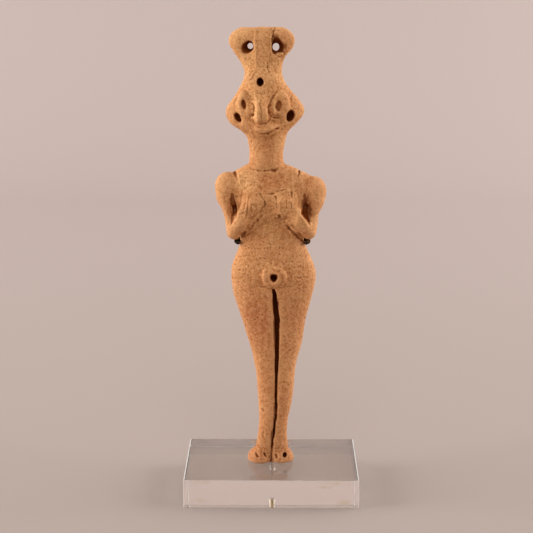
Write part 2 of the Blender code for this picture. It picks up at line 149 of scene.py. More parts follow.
# The brass support and the clear block
WELD = 0.001 * MM
WIRE_GRAIN = 0.16 * MM
WIRE_SHARE = 0.35  # of its faces that are kept
WIRE_SMOOTHING = 8
BLOCK_HEIGHT = 10 * MM
BLOCK_EDGE = 0.40 * MM  # width of the scraped edges along the block's sides
EDGE_FROM = 25 * MM  # how far out the upright edges are
ACRYLIC_IOR = 1.49
OTHER_EDGES = 0.3  # how wide the other, polished edges are, against those
LEANING = 0.1  # part of a face's normal above which the face leans that way
SOCKET_RADIUS = 1.1 * MM
GLUE_TOP = 7.6 * MM  # how high the glue stands between the rod and the socket's wall, with its painted glint
GLUE_FULL = 7.068 * MM  # below this height it covers the wall
THIN_GLUE = 0.36 * MM  # half width of the strip where the glue is thin and the brass shows through; beside it the wall is a painted glint
GLINT_FROM = 0.576 * MM  # how far from the strip's middle the painted glint is full
SOCKET_FLOOR = 3.7 * MM
ROD_RADIUS = 0.8 * MM
FOOT_HEIGHT = 2 * MM  # of the stretch over which the rod's foot turns to bare brass
# Faint yellow marks of old glue on the block's front: centre and half size in mm
GLUE_MARKS = [
    ((23.0, -20, 9.0), (6.5, 3, 1.1)), ((18.5, -20, 7.6), (3.2, 3, 0.7)), ((25.2, -20, 2.0), (4.0, 3, 1.3)),
    ((-24.6, -20, 2.6), (2.8, 3, 0.9)), ((-24.0, -20, 9.2), (4.5, 3, 0.7)),
]

# The studio: a paper backdrop, soft lights beside and behind, one above and one high in front
FLOOR_GAP = 0.05 * MM
FLOOR_REACH = 1.6
WALL_PLACE = 0.9
WALL_BEND = 0.35
WALL_HEIGHT = 1.4
WALL_STEPS = 16
LIT_PAPER_EDGE = (0.5 * MM, 1.5 * MM)  # how far in under the block the painted light on the paper begins, and is full
PAPER_FADE = 0.58  # how far behind the block the painted shade on the paper fades out, to the paper's lightest
WORLD_COLOUR = (1.0, 0.97, 0.95, 1)
WORLD_STRENGTH = 0.30
SUBJECT = (0, 0, 0.08)
LIGHTS = [
    # name, place, width and height, watts
    ("left_light", (-1.1, -0.1, 0.4), (0.8, 0.8), 14.0),
    ("right_light", (1.05, 0.0, 0.45), (0.8, 0.8), 8.6),
    ("right_rim", (0.80, 0.55, 0.45), (1.0, 0.8), 5.0),
    ("left_rim", (-0.80, 0.55, 0.45), (1.0, 0.8), 2.2),
    ("top_light", (0, 0.1, 1.3), (1.2, 1.2), 2.4),
    ("front_light", (0, -1.0, 1.15), (0.9, 0.9), 5.6),
]

# Colours, as linear red, green, blue
BUFF = (0.66, 0.300, 0.108, 1)
ORANGE = (0.60, 0.242, 0.078, 1)
RED_CLAY = (0.50, 0.168, 0.052, 1)
BROWN_CLAY = (0.40, 0.158, 0.053, 1)
WORN_CLAY = (0.74, 0.375, 0.16, 1)
DARK_SPECK = (0.24, 0.092, 0.030, 1)
PALE_SPECK = (0.78, 0.46, 0.24, 1)
# painted shade for the creases, hollows and grooves
CREASE_SHADE = (0.155, 0.040, 0.010, 1)
# painted shade deep inside the holes and slots
HOLE_SHADE = (0.24, 0.056, 0.012, 1)
# pale clay, and painted highlights
LIGHT_CLAY_AND_HIGHLIGHT = (0.84, 0.42, 0.165, 1)
DARK_GRAIN = (0.75, 0.62, 0.50, 1)
LIGHT_GRAIN = (1.23, 1.40, 1.58, 1)
DARK_BRASS = (0.022, 0.014, 0.009, 1)
BARE_BRASS = (0.11, 0.07, 0.036, 1)
BROWN_GLINT = (0.30, 0.20, 0.12, 1)
POLISHED_BRASS = (0.92, 0.80, 0.58, 1)
# the paper in front, darkened with painted shade
SHADED_NEAR_PAPER = (0.386, 0.311, 0.274, 1)
FAR_PAPER = (0.463, 0.378, 0.349, 1)
LIT_PAPER_UNDER_BLOCK = (0.520, 0.422, 0.370, 1)  # under the block, painted lighter where light would come through the block
CLEAR = (1.0, 0.98, 0.955, 1)
GLUE = (0.80, 0.72, 0.46, 1)
# bright lining of the socket's wall beside the rod: a painted glint
SOCKET_GLINT = (0.96, 0.88, 0.72, 1)
COVERED_BRASS = (0.78, 0.53, 0.28, 1)
# Noise that mottles the surfaces: lumps to a metre, its detail and roughness, the values between which it
# counts, and what it gives at those two
MOTTLING = {
    "orange_clay": (90, 3, 0.55, 0.36, 0.64, 0, 1),
    "brown_clay": (420, 3, 0.55, 0.35, 0.65, 0, 1),
    "red_clay": (150, 3, 0.55, 0.5, 0.72, 0, 0.35),
    "clay_grain": (1900, 2, 0.55, 0.3, 0.7, 0, 1),
    "dark_specks": (1500, 2, 0.6, 0.62, 0.74, 0, 0.35),
    "pale_specks": (1000, 2, 0.6, 0.62, 0.74, 0, 0.5),
    "bare_brass": (350, 3, 0.55, 0.4, 0.66, 0, 1),
    "brass_roughness": (900, 3, 0.55, 0.3, 0.7, 0.26, 0.5),
    "glue_smears": (420, 3, 0.55, 0.42, 0.58, 0.2, 1),
}
# Noise that makes them bumpy: lumps to a metre, detail and roughness
CLAY_BUMPS = [(2600, 3, 0.7), (1100, 2, 0.55)]
BRASS_BUMPS = (2200, 3, 0.55)
CLAY_BUMP_HEIGHT = 0.16 * MM
BRASS_BUMP_HEIGHT = 0.05 * MM
CLAY_BUMP_STRENGTH = (0.8, 1.0)  # in fine and in coarse clay
BRASS_BUMP_STRENGTH = 0.3
BROWN_SHARE = 0.35  # of the brown tone in the clay, where there is most of it
WORN_SHARE = 0.4  # of the worn tone, in the same way
SHADE_SHARE = (0.08, 1, 0, 0.95)  # the values between which the painted shade counts, and what it gives at those two
CLAY_ROUGHNESS = (0.78, 0.95)
CLAY_SHINE = 0.4
NO_SHINE = 0.8  # how much painted shade, or how deep inside an opening, clay has where it has lost its shine
FOOT_ROUGHNESS = 0.4  # against the rest of the rod
SCRAPED_ROUGHNESS = 0.5  # of the block's scraped edges, and of the glue
SCRAPED_CLEAR = 0.5
PAPER_ROUGHNESS = 0.8
PAPER_SHINE = 0.15
# A colour factor by height for the clay, from the feet to the head, darker towards the feet
TONES_BY_HEIGHT = [
    (0.010, (0.68, 0.51, 0.42, 1)),
    (0.021, (0.92, 0.84, 0.80, 1)),
    (0.040, (0.99, 0.93, 0.91, 1)),
    (0.060, (0.92, 0.86, 0.86, 1)),
    (0.080, (0.97, 0.93, 0.91, 1)),
    (0.100, (0.99, 0.97, 0.94, 1)),
    (0.122, (0.98, 0.95, 0.90, 1)),
    (0.136, (1.04, 1.05, 0.99, 1)),
    (0.162, (1.01, 1.01, 0.96, 1)),
]


def camera():
    data = bpy.data.cameras.new("camera")
    data.sensor_width = SENSOR
    data.lens = SENSOR * FOCAL_PIXELS / PHOTO_SIZE
    data.clip_start = 0.01
    data.clip_end = 50
    obj = bpy.data.objects.new("camera", data)
    obj.location = CAMERA_PLACE
    obj.rotation_euler = Euler((math.pi / 2 - CAMERA_DOWN, 0, CAMERA_LEFT))
    bpy.context.scene.collection.objects.link(obj)
    bpy.context.scene.camera = obj
    bpy.context.view_layer.update()
    return obj


shot = camera()
TO_CAMERA = np.array(shot.matrix_world.inverted())
SIGHT = np.array(shot.matrix_world.to_3x3() @ Vector((0, 0, -1)))


def to_photo(points):
    """The photograph's column and row at which each point shows."""
    seen = points @ TO_CAMERA[:3, :3].T + TO_CAMERA[:3, 3]
    scale = FOCAL_PIXELS / -seen[:, 2]
    return np.column_stack([PHOTO_SIZE / 2 + seen[:, 0] * scale, PHOTO_SIZE / 2 - seen[:, 1] * scale])


def from_photo(column, row, depth):
    """The point that shows at a column and row, at a depth (its Y)."""
    turn = shot.matrix_world.to_3x3()
    offset = Vector((column - PHOTO_SIZE / 2, PHOTO_SIZE / 2 - row, -FOCAL_PIXELS))
    ray = turn @ offset
    return CAMERA_PLACE + ray * ((depth - CAMERA_PLACE.y) / ray.y)


def add_object(name, data):
    obj = bpy.data.objects.new(name, data)
    bpy.context.scene.collection.objects.link(obj)
    return obj


def settle(obj):
    """Applies an object's modifiers to its mesh."""
    bpy.context.view_layer.update()
    seen = obj.evaluated_get(bpy.context.evaluated_depsgraph_get())
    made = bpy.data.meshes.new_from_object(seen)
    obj.modifiers.clear()
    old = obj.data
    obj.data = made
    bpy.data.meshes.remove(old)


def mesh_from(name, bm):
    data = bpy.data.meshes.new(name)
    bm.to_mesh(data)
    bm.free()
    return data


def welded_copy(node, name):
    bm = bmesh.new()
    bm.from_mesh(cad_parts[node].data)
    bmesh.ops.remove_doubles(bm, verts=bm.verts, dist=WELD)
    return add_object(name, mesh_from(name, bm))


def remesh(obj, grain, smoothing=0):
    step = obj.modifiers.new("remesh", "REMESH")
    step.mode = "VOXEL"
    step.voxel_size = grain
    step.use_smooth_shade = True
    if smoothing:
        step = obj.modifiers.new("smooth", "SMOOTH")
        step.factor = 0.5
        step.iterations = smoothing


def thin_out(obj, share):
    """Leaves a share of an object's faces."""
    step = obj.modifiers.new("fewer_faces", "DECIMATE")
    step.ratio = share
    settle(obj)


def read_surface(data):
    """The points of a mesh, and the directions it faces at them."""
    found = []
    for items, name in ((data.vertices, "co"), (data.vertex_normals, "vector")):
        values = np.empty(len(items) * 3, np.float32)
        items.foreach_get(name, values)
        found.append(values.reshape(-1, 3).astype(float))
    return found


def set_coordinates(data, points):
    data.vertices.foreach_set("co", points.astype(np.float32).ravel())
    data.update()


def neighbour_mean(data):
    """A function that takes the points of a mesh to the mean of the points joined to each."""
    ends = np.empty(len(data.edges) * 2, np.int32)
    data.edges.foreach_get("vertices", ends)
    a, b = ends.reshape(-1, 2).T
    count = len(data.vertices)
    share = 1.0 / np.maximum(np.bincount(ends, minlength=count), 1)

    def mean(points):
        sums = [np.bincount(a, part[b], count) + np.bincount(b, part[a], count) for part in points.T]
        return np.column_stack(sums) * share[:, None]

    return mean


def soft_step(low, high, values):
    t = np.clip((values - low) / (high - low), 0, 1)
    return t * t * (3 - 2 * t)


def lumps(points, size, seed):
    """Smooth noise from about -1 to 1, of lumps of a size in metres."""
    shift = Vector((seed * 17.3, seed * 5.1, seed * 9.7))
    return np.array([noise.noise(Vector(p) / size + shift) for p in points.tolist()])


def oval(column, row, half_wide, half_tall, lean=0.0):
    """An oval outline in the photograph; a positive lean takes its top to the right."""
    turn = math.radians(lean)
    outline = []
    for i in range(24):
        angle = math.tau * i / 24
        wide, tall = half_wide * math.cos(angle), half_tall * math.sin(angle)
        outline.append((column + wide * math.cos(turn) + tall * math.sin(turn),
                        row + wide * math.sin(turn) - tall * math.cos(turn)))
    return outline


# Holes: outline at the clay's surface, outline where the taper ends, its depth and the hole's end in mm
HOLES = {
    "headdress_left": (
        [(249, 40.3), (251.8, 41.6), (253.4, 45), (253.4, 49.5), (251, 52), (246, 54.2), (241.8, 53),
         (240.5, 49), (241.5, 45), (245, 41.6)],
        oval(250.4, 46, 2.8, 2.9), 5.2, 9),
    "headdress_right": (
        [(273.4, 38.4), (275.2, 36.6), (278.2, 36.8), (281, 39.4), (283.2, 42.2), (285.4, 45.6),
         (284.6, 49.8), (283.6, 54), (280.8, 53.2), (278.2, 53.4), (274.8, 55), (272.2, 53), (271.6, 47),
         (272.2, 42.2)],
        oval(276.1, 46.9, 3.5, 4), 5, 9),
    "forehead": (oval(260.3, 82.1, 3.9, 4.9), oval(260.3, 81.6, 2.2, 2.6), 5, 5.5),
    "ear_left": (
        [(233.8, 113), (236.4, 112), (239.4, 114), (240.6, 117.4), (241.9, 121.6), (240, 123.2),
         (237.4, 121.6), (234.6, 118.6), (233.4, 115.6)],
        oval(238.6, 117.4, 2.6, 4, -28), 2.3, 2.7),
    "ear_right": (
        [(290.4, 109.6), (293.2, 110.2), (294.8, 113.4), (294.2, 117.8), (291.6, 121.2), (288.6, 122.6),
         (286.2, 120.6), (286.6, 116.6), (287.8, 112)],
        oval(289.8, 116, 2.8, 4.6, 20), 3.6, 4),
    "navel": (
        [(270, 275.6), (271, 274.2), (272.4, 274), (273.7, 274.8), (275.4, 274), (277.2, 275.2),
         (278, 277.4), (277.2, 280.2), (275.2, 282.7), (273.2, 283.4), (271.6, 281.8), (270, 278.6)],
        oval(273.8, 277.6, 2.2, 2.4), 3.8, 4.2),
    "pupil_left": (oval(243.8, 104.7, 2.7, 5.8, -13), oval(243.8, 104.2, 1.7, 4.2, -13), 1.3, 1.5),
    "pupil_right": (oval(278.9, 106, 3.3, 5.7, 6), oval(278.7, 105.8, 2.4, 4.6, 6), 0.7, 0.8),
    "toe_right": (oval(284.6, 454.9, 2.2, 2.8, 4), oval(284.6, 454.4, 1.4, 1.7), 2.8, 3.2),
}
# Slots: row, left and right edge, depth in mm
SLOTS = {
    "legs": [
        (288.4, 272.4, 274.8, 1.6), (290.2, 271.6, 275.6, 3.6), (294.2, 272.1, 277, 5.2),
        (299, 272.2, 277.2, 5.5), (304, 272.5, 277.6, 5.6), (310.5, 273, 278.7, 5.6),
        (316, 273.4, 279.7, 5.4), (320.8, 274.3, 280.6, 5.4), (324.6, 274.6, 279.4, 5.2),
        (338, 275, 279.3, 5), (347, 274.8, 279, 4.8), (356, 275.1, 278.9, 4.6), (368, 274.8, 278.1, 4.4),
        (379, 275, 277.6, 4.2), (390, 275, 277.3, 4), (397, 274.7, 276.8, 4), (406, 275.3, 277.4, 4),
        (414, 275.2, 276.9, 3.8), (419, 274.8, 276.5, 3.6), (422, 273.7, 275.7, 3.6),
        (428, 273.1, 275.3, 3.6), (433.5, 272.9, 274.8, 3.4), (436.5, 272.4, 274.4, 3.2),
        (439.5, 271.2, 273.4, 3), (443.2, 271, 273.9, 2.6), (446.6, 271.2, 273, 2.4),
        (450, 271, 272.3, 1.6), (454, 271, 272.3, 1), (457.5, 270.5, 272.2, 1.4), (461, 269.8, 271.9, 1.8),
        (462.6, 269.7, 271.6, 1.4),
    ],
    "arm_left": [
        (193.6, 231.4, 233, 0.35), (198.5, 230.8, 233.6, 0.6), (202, 231.2, 234.8, 0.9),
        (205.5, 232, 236.6, 1.9), (209, 232.7, 237, 2.8), (213, 233, 237.2, 2.4), (216, 231.8, 236.8, 0.9),
        (220.5, 231, 234.6, 0.6), (226.5, 230, 231.4, 0.35),
    ],
    "arm_right": [
        (194, 303.4, 306, 0.35), (199, 302.8, 306.6, 0.7), (204, 302.8, 307.2, 1.1),
        (208, 302.2, 307.2, 1.8), (210.5, 301.4, 307.2, 2.8), (213.3, 300.4, 307.4, 3.4),
        (217, 302.8, 308.2, 2.8), (220.2, 305.2, 309.4, 1.9), (223.4, 307.4, 309.9, 1),
        (225.6, 309.2, 310.4, 0.5),
    ],
}
# Grooves pressed into the clay: depth in mm, then column, row and half width along the line
GROOVES = {
    "arm_gap_left": (0.45, [(231.8, 195, 1.6), (232.2, 202, 2.4), (233, 208, 2.4), (233.2, 213, 2.2),
        (232, 220, 1.6)]),
    "arm_gap_right": (0.6, [(306, 195, 2), (307, 202, 2.8), (308.2, 209, 3.2), (308.8, 215, 3),
        (309.6, 220, 2)]),
    "nose_end": (0.4, [(255, 123, 0.4), (258.5, 124.4, 0.6), (262, 124.4, 0.8), (264.5, 123.8, 1.2),
        (266.5, 122.8, 1.2), (268.5, 121.2, 1), (271, 118.6, 0.6)]),
    "nose_mark": (0.25, [(252, 120, 0.7), (253.5, 121.6, 0.9), (254.8, 123.8, 0.7)]),
    "nose_fold": (0.26, [(260.2, 98, 1.2), (260.6, 110, 1.9), (261, 122, 1.7)]),
    "eye_left_upper": (0.2, [(244.4, 90, 1), (247.6, 93, 1.4), (250.2, 97, 1), (251.4, 100, 0.5)]),
    "eye_left_lower": (0.75, [(252.4, 103.6, 0.8), (253.4, 107.6, 1.2), (253.8, 111.6, 1.5),
        (253.2, 115, 1.3), (250.8, 117, 0.7)]),
    "eye_left_side": (0.22, [(236.5, 96, 0.7), (234.4, 103, 0.8), (233.8, 107.5, 0.8),
        (235.6, 111.4, 0.7)]),
    "eye_right_edge": (0.5, [(277, 91, 0.7), (275.4, 93.4, 0.8), (273, 96.6, 0.8), (270.8, 101, 1),
        (269.4, 106, 1), (269, 110, 1.1), (269.6, 114, 1.1), (271.4, 116.6, 1.1), (273.6, 117.6, 1),
        (277, 118, 0.7), (279.6, 118.2, 0.5)]),
    "eye_right_outer": (0.26, [(288.6, 93.6, 0.7), (291, 97, 0.9), (291.9, 102, 0.9), (292, 106, 0.7)]),
    "pupil_right_low": (0.55, [(277, 107.4, 0.9), (278.2, 109.6, 1)]),
    "pupil_right_top": (0.3, [(278.6, 101.6, 0.9), (279.6, 103.2, 1)]),
    "boss_below": (0.24, [(256.5, 90.6, 0.7), (259, 92.6, 1.1), (262, 94, 1.4), (264.6, 93.6, 1)]),
    "brow_groove": (0.42, [(267.2, 62.6, 0.7), (267.4, 66, 0.9), (268, 70, 1), (269, 71.8, 0.9)]),
    "brow_scratch": (0.22, [(271.2, 58.4, 0.6), (271.7, 61.8, 0.6)]),
    "ear_crack": (0.32, [(291, 110, 0.8), (294, 108.6, 0.7), (298, 108.8, 0.6), (299, 105, 0.4)]),
    "ear_spot": (0.25, [(301.4, 111, 0.7), (301.6, 112.6, 0.7)]),
    "chin": (0.7, [(252, 130, 0.4), (257, 132.4, 0.5), (261, 133.9, 0.6), (265, 134.2, 1.1),
        (268, 133.4, 1), (271, 132, 1.2), (274.4, 130.3, 0.9), (277.6, 128.6, 1.2), (279.2, 128, 0.6)]),
    "neck_pit": (0.3, [(250.8, 141.4, 0.7), (251.4, 142.4, 0.7)]),
    "crest_right": (0.2, [(271.8, 28, 0.9), (272.4, 36, 0.8)]),
    "crest_right_low": (0.16, [(270.6, 52, 0.8), (269.6, 60, 0.8)]),
    "crown_crack": (0.85, [(275, 25.6, 1.4), (274.4, 29, 1.2), (273.4, 32.5, 1.1), (273, 36.6, 1.5),
        (273.2, 41, 1.8)]),
    "crown_scratch": (0.2, [(269.8, 27.6, 0.6), (270.6, 30.6, 0.6), (271.5, 33, 0.5)]),
    "hole_right_below": (0.34, [(275.8, 55.2, 0.7), (279, 57, 0.7), (281.8, 57.2, 1)]),
    "neck_base": (0.3, [(249, 167, 0.9), (253, 169.2, 0.9), (258, 170.8, 0.8), (262, 171, 0.6)]),
    "neck_base_middle": (0.75, [(264, 171.2, 0.8), (268, 170.8, 0.8), (271, 170.2, 1), (273.4, 171.5, 1.5),
        (275.8, 170.2, 1.2), (278, 168.4, 0.7)]),
    "neck_base_right": (0.32, [(283, 168.5, 1.1), (285, 167.4, 1)]),
    "shoulder_left": (1.1, [(234.4, 170.6, 1.1), (235, 173.2, 1.5), (235.4, 175.4, 1.2),
        (236.4, 177.6, 0.7), (237.4, 180, 0.4)]),
    "shoulder_right": (0.85, [(299.3, 170.2, 1), (299.4, 172.4, 1.3), (298.9, 174.2, 0.8),
        (297.8, 177.6, 0.4)]),
    "hand_left_tip": (0.6, [(259.8, 193.8, 0.8), (261, 196, 1), (262.4, 198, 0.7)]),
    "hand_left_edge": (0.5, [(263.6, 199.4, 0.7), (264.8, 201.6, 0.9), (265.6, 204, 0.9), (264.6, 206.6, 1),
        (262, 208.4, 0.7)]),
    "hand_left_low": (0.65, [(262, 215.6, 0.9), (259.4, 218.6, 0.9), (257.2, 221.4, 1.3), (254, 224.8, 1),
        (252, 227, 0.8)]),
    "hand_left_pits": (0.45, [(258.2, 220.4, 0.9), (256.6, 222, 1.1)]),
    "forearm_left_low": (0.75, [(252.4, 228.6, 0.8), (249.6, 230, 0.8), (245, 232.4, 1.3),
        (243.4, 234.8, 1.3), (240.6, 237.4, 1.5), (238.2, 240.4, 1.8)]),
    "finger_left_slit": (0.5, [(244.8, 203.8, 1), (244.2, 207.6, 0.9), (243.9, 211, 0.6),
        (243.6, 216, 0.5)]),
    "finger_left_b": (0.14, [(248.4, 204, 0.7), (247.6, 210, 0.8), (246.4, 217, 0.7)]),
    "hand_right_top": (0.62, [(267, 194.4, 0.5), (270.4, 194, 0.7), (273.6, 193.4, 1), (274.8, 193.2, 0.9),
        (277, 191.8, 0.8), (281, 190.6, 0.6), (286, 189.4, 0.5)]),
    "hand_right_side": (0.48, [(290.6, 190.4, 0.6), (291.6, 191.8, 1.1), (291.9, 194, 1.1),
        (292.4, 197, 0.6)]),
    "hand_right_edge": (0.42, [(275.8, 196.4, 0.9), (276.2, 199.8, 0.9), (276.6, 202, 0.5)]),
    "hand_right_spot": (0.3, [(276.6, 203.6, 0.7), (277.2, 207.6, 0.7)]),
    "finger_right_a": (0.13, [(280.6, 199, 0.6), (280.8, 206, 0.7), (281.4, 212, 0.6)]),
    "finger_right_b": (0.18, [(286.2, 200, 0.9), (286.6, 204, 0.8), (286.4, 209, 0.5)]),
    "finger_right_c": (0.24, [(291.4, 203.6, 0.8), (291.8, 207.6, 0.9), (291.2, 211, 0.6)]),
    "hand_right_low": (0.7, [(276.2, 214.2, 0.9), (279, 216.8, 1.3), (281.4, 219.2, 1.2)]),
    "hand_right_drip": (0.26, [(281.4, 219.6, 0.7), (281.5, 223, 0.6)]),
    "forearm_right_low": (0.75, [(283.4, 221.6, 0.7), (287.4, 226.6, 1), (291.2, 231.2, 1.2),
        (294.8, 234.4, 1.3), (298.4, 237.4, 1.5), (301.4, 240, 1.8), (303.4, 242.2, 1.8)]),
    "belly_mark": (0.22, [(269.6, 243, 0.8), (270.6, 244.4, 0.8)]),
    "navel_line_left": (0.26, [(260.6, 286.8, 0.6), (265, 287.6, 0.7), (269, 288.2, 0.7),
        (271.6, 288.8, 0.7)]),
    "toe_a": (0.8, [(256.4, 453.2, 1.1), (257.4, 456.6, 1.3)]),
    "toe_b": (0.85, [(264.4, 453.4, 1.1), (264.9, 455.8, 1.3), (266, 457.4, 0.9)]),
    "toe_c": (0.62, [(275.9, 454.4, 1), (276.8, 457.6, 1.1)]),
    "shin_pit": (0.3, [(263.2, 409.4, 0.9), (263.5, 411.8, 0.8)]),
    "shin_spot_a": (0.22, [(263.4, 431.8, 0.6), (263.5, 432.6, 0.6)]),
    "shin_spot_b": (0.2, [(263.2, 435.8, 0.7), (263.3, 437, 0.6)]),
    "thigh_nick": (0.6, [(305.6, 317.4, 1.1), (305, 318.6, 1)]),
}
# Ridges that stand up from the clay, in the same way
RIDGES = {
    "nose_ridge": (0.42, [(255, 92, 0.7), (256.4, 101, 1.5), (257.8, 111, 2.1), (258, 120.5, 2.2)]),
    "nose_wing": (0.44, [(264.4, 96, 1.4), (265.2, 108, 1.8), (266, 119, 2)]),
    "nose_wing_left": (0.2, [(254.6, 117, 1.6), (255.4, 120.6, 1.5)]),
    "boss_line": (0.3, [(254.4, 71.4, 0.8), (252.4, 75.2, 0.9), (250.4, 78.8, 0.8)]),
    "crest_left": (0.24, [(255.4, 28, 1.2), (255.2, 40, 1.3), (255.6, 50, 1.2), (256, 66, 1.1)]),
    "crest_right": (0.26, [(271.2, 35.5, 0.8), (270.9, 42, 0.9), (270.6, 49, 0.9)]),
    "eye_right_glint": (0.18, [(278.4, 112.4, 0.8), (281, 116, 0.7)]),
    "eye_right_lid": (0.34, [(277.4, 95.8, 1.4), (273.8, 101.4, 1.5), (273, 107.6, 1.5),
        (274.6, 113.2, 1.4)]),
    "chin": (0.22, [(256, 129.4, 1.8), (264, 131, 1.8), (272, 128.8, 1.7)]),
    "shoulder_left": (0.26, [(238.6, 175, 0.9), (239.8, 179, 1), (240.2, 184, 0.9)]),
    "finger_left_a": (0.24, [(247.4, 193, 0.8), (247.6, 199, 0.9), (247, 204, 0.6)]),
    "finger_left_b": (0.26, [(246.6, 203, 0.8), (245.6, 210, 0.9), (243.4, 219, 0.9)]),
    "finger_left_c": (0.22, [(250.6, 202.6, 0.8), (249.4, 208, 0.9), (247.4, 216, 0.8)]),
    "hand_left_glint": (0.26, [(252.6, 206.4, 0.8), (254.2, 209, 0.9)]),
    "hand_right_corner": (0.34, [(288, 190.6, 0.8), (289.8, 192, 0.9), (290.4, 195.4, 0.8)]),
    "forearm_left_rim": (0.24, [(258.4, 215, 1.2), (253.6, 220, 1.4), (249.4, 225.4, 1.4),
        (242, 231, 1.3)]),
    "forearm_right_rim": (0.24, [(287, 220.6, 1.2), (291.6, 226.4, 1.4), (296.4, 231.6, 1.4),
        (300.8, 236, 1.3)]),
    "forearm_left": (0.28, [(239.4, 212, 1), (236.2, 219.6, 1.1), (232.2, 226, 1)]),
    "forearm_right": (0.28, [(299.4, 214.6, 0.9), (303.2, 219.8, 1.1), (307.2, 225.8, 1)]),
    "navel_ring": (0.4, [(266.4, 269, 1.2), (264.4, 272, 2), (263.6, 277, 2.2), (265, 283, 2),
        (269, 286.6, 1.2)]),
    "navel_ring_right": (0.55, [(275, 268, 1), (281.2, 270.2, 1.6), (285, 274.8, 2), (285, 281, 1.9),
        (282, 285.6, 1.2)]),
    "chip_crown": (0.3, [(271, 37.2, 0.8), (271.6, 37.9, 0.8)]),
    "chip_hole": (0.42, [(281.8, 54, 0.9), (282.4, 54.8, 0.9)]),
    "chip_hole_left": (0.2, [(277.6, 53.4, 0.9), (280.6, 53, 0.9)]),
}
# Rows of pricked dots round the hips: row at the left, row at the right, first and last column
DOT_ROWS = [
    (248.8, 248.2, 246, 286), (256.6, 255.6, 237.5, 250), (257, 255.6, 293.5, 302.5),
    (259.6, 258.4, 254, 267), (262.4, 261.6, 286, 292), (267.4, 266.2, 295, 305), (270, 268.6, 240, 253),
    (278.8, 277.6, 233, 252), (277.8, 276.4, 288.5, 312.5), (288.4, 287.4, 252, 256),
    (288.6, 287.4, 300, 309),
]
DOT_PITCH = 3.05  # in pixels
# Patches that the fire left redder, and paler ones, some of them painted highlights: column, row, half width
# and height, how strong
FIRED_PATCHES = [
    (257, 321, 14, 24, 0.85), (271, 181, 14, 11, 0.6), (246.5, 202, 4, 4, 0.4), (268, 150, 6, 16, 0.45),
    (266, 375, 8, 30, 0.25), (288, 42, 10, 15, 0.55), (292, 100, 10, 16, 0.35), (312, 190, 12, 16, 0.3),
    (304, 275, 10, 14, 0.25), (256, 456, 12, 8, 0.4), (262, 430, 8, 20, 0.3), (283, 415, 7, 30, 0.35),
]
# the small patches at the chips by the right headdress hole and on the crown, and the spot on the left hand,
# are painted highlights
PALE_AND_HIGHLIGHT_PATCHES = [
    (245, 181, 13, 11, 0.9), (242, 40, 12, 14, 0.4), (255.5, 108, 4, 14, 0.5), (246, 60, 6, 12, 0.3),
    (240, 268, 8, 20, 0.2), (274.4, 106.5, 3, 8, 0.6), (284, 145, 4, 12, 0.3), (282.2, 54.2, 1.3, 1.1, 1),
    (278.8, 54.4, 1.8, 0.9, 0.8), (271.2, 37.2, 0.9, 1.3, 0.8), (254, 209.6, 1.2, 2, 0.5),
    (267.6, 171.4, 2.4, 0.9, 0.6),
]
# Patches of painted shade in notches, gaps and round holes, in the same way
SHADE_PATCHES = [
    (276.2, 36.6, 3.6, 3, 0.8), (285.6, 46.5, 1.8, 4.6, 0.8), (284.2, 53, 1.8, 3, 0.6),
    (305.2, 210, 3.2, 9, 0.8), (274.8, 52.8, 2.4, 1.8, 1), (273.8, 31, 1.2, 4.5, 0.6),
    (234.9, 173.4, 1.8, 2.8, 1), (299.2, 172, 1.3, 2.2, 1), (274.6, 171, 2.6, 1.4, 0.6),
    (279.2, 216.6, 2.2, 2.8, 0.9), (308.6, 217, 3, 5, 0.5),
]
# Patches where the clay is coarser than elsewhere, in the same way
COARSE_PATCHES = [
    (237, 40, 13, 17, 0.8), (250, 203, 15, 18, 0.35), (285, 203, 14, 18, 0.5), (238, 178, 16, 12, 0.6),
    (302, 272, 12, 18, 0.7), (243, 270, 12, 18, 0.5), (270, 455, 24, 10, 0.8), (277, 50, 8, 16, 0.6),
    (270, 95, 30, 22, 0.3), (275, 38, 5, 6, 1), (300, 228, 12, 14, 0.5), (262, 60, 14, 30, 0.3),
]


def surface_finder(obj):
    """A function that gives the depth (Y) at which the camera meets an object at a column and row."""
    tree = BVHTree.FromObject(obj, bpy.context.evaluated_depsgraph_get())

    def depth_at(column, row):
        ahead = from_photo(column, row, 0) - CAMERA_PLACE
        hit = tree.ray_cast(CAMERA_PLACE, ahead.normalized())[0]
        return hit.y if hit else None

    return depth_at


def outline_reach(rim, angles):
    """How far an outline reaches from its middle at each angle."""
    across, down = rim.T
    return np.interp(angles, np.arctan2(down, across), np.hypot(across, down), period=math.tau)


def spaced_outline(outline, count=28):
    """The outline's middle, and points on it at even turns round that middle."""
    points = np.array(outline, float)
    middle = points.mean(0)
    turns = np.arange(count) * math.tau / count
    reach = outline_reach(points - middle, turns)
    return middle, np.column_stack([np.cos(turns), np.sin(turns)]) * reach[:, None]


def skin(bm, rings):
    """Closes a row of rings into one tube with a cap at each end."""
    for low, high in zip(rings, rings[1:]):
        for i in range(len(low)):
            j = (i + 1) % len(low)
            bm.faces.new((low[i], low[j], high[j], high[i]))
    bm.faces.new(rings[0][::-1])
    bm.faces.new(rings[-1])


def mouth_depth(depth_at, middle, rim):
    """The mean depth of the clay's surface just round a hole's outline."""
    found = [depth_at(*place) for place in middle + rim[::4] * ROUND_MOUTH]
    found = [depth for depth in found if depth is not None]
    return sum(found) / len(found)


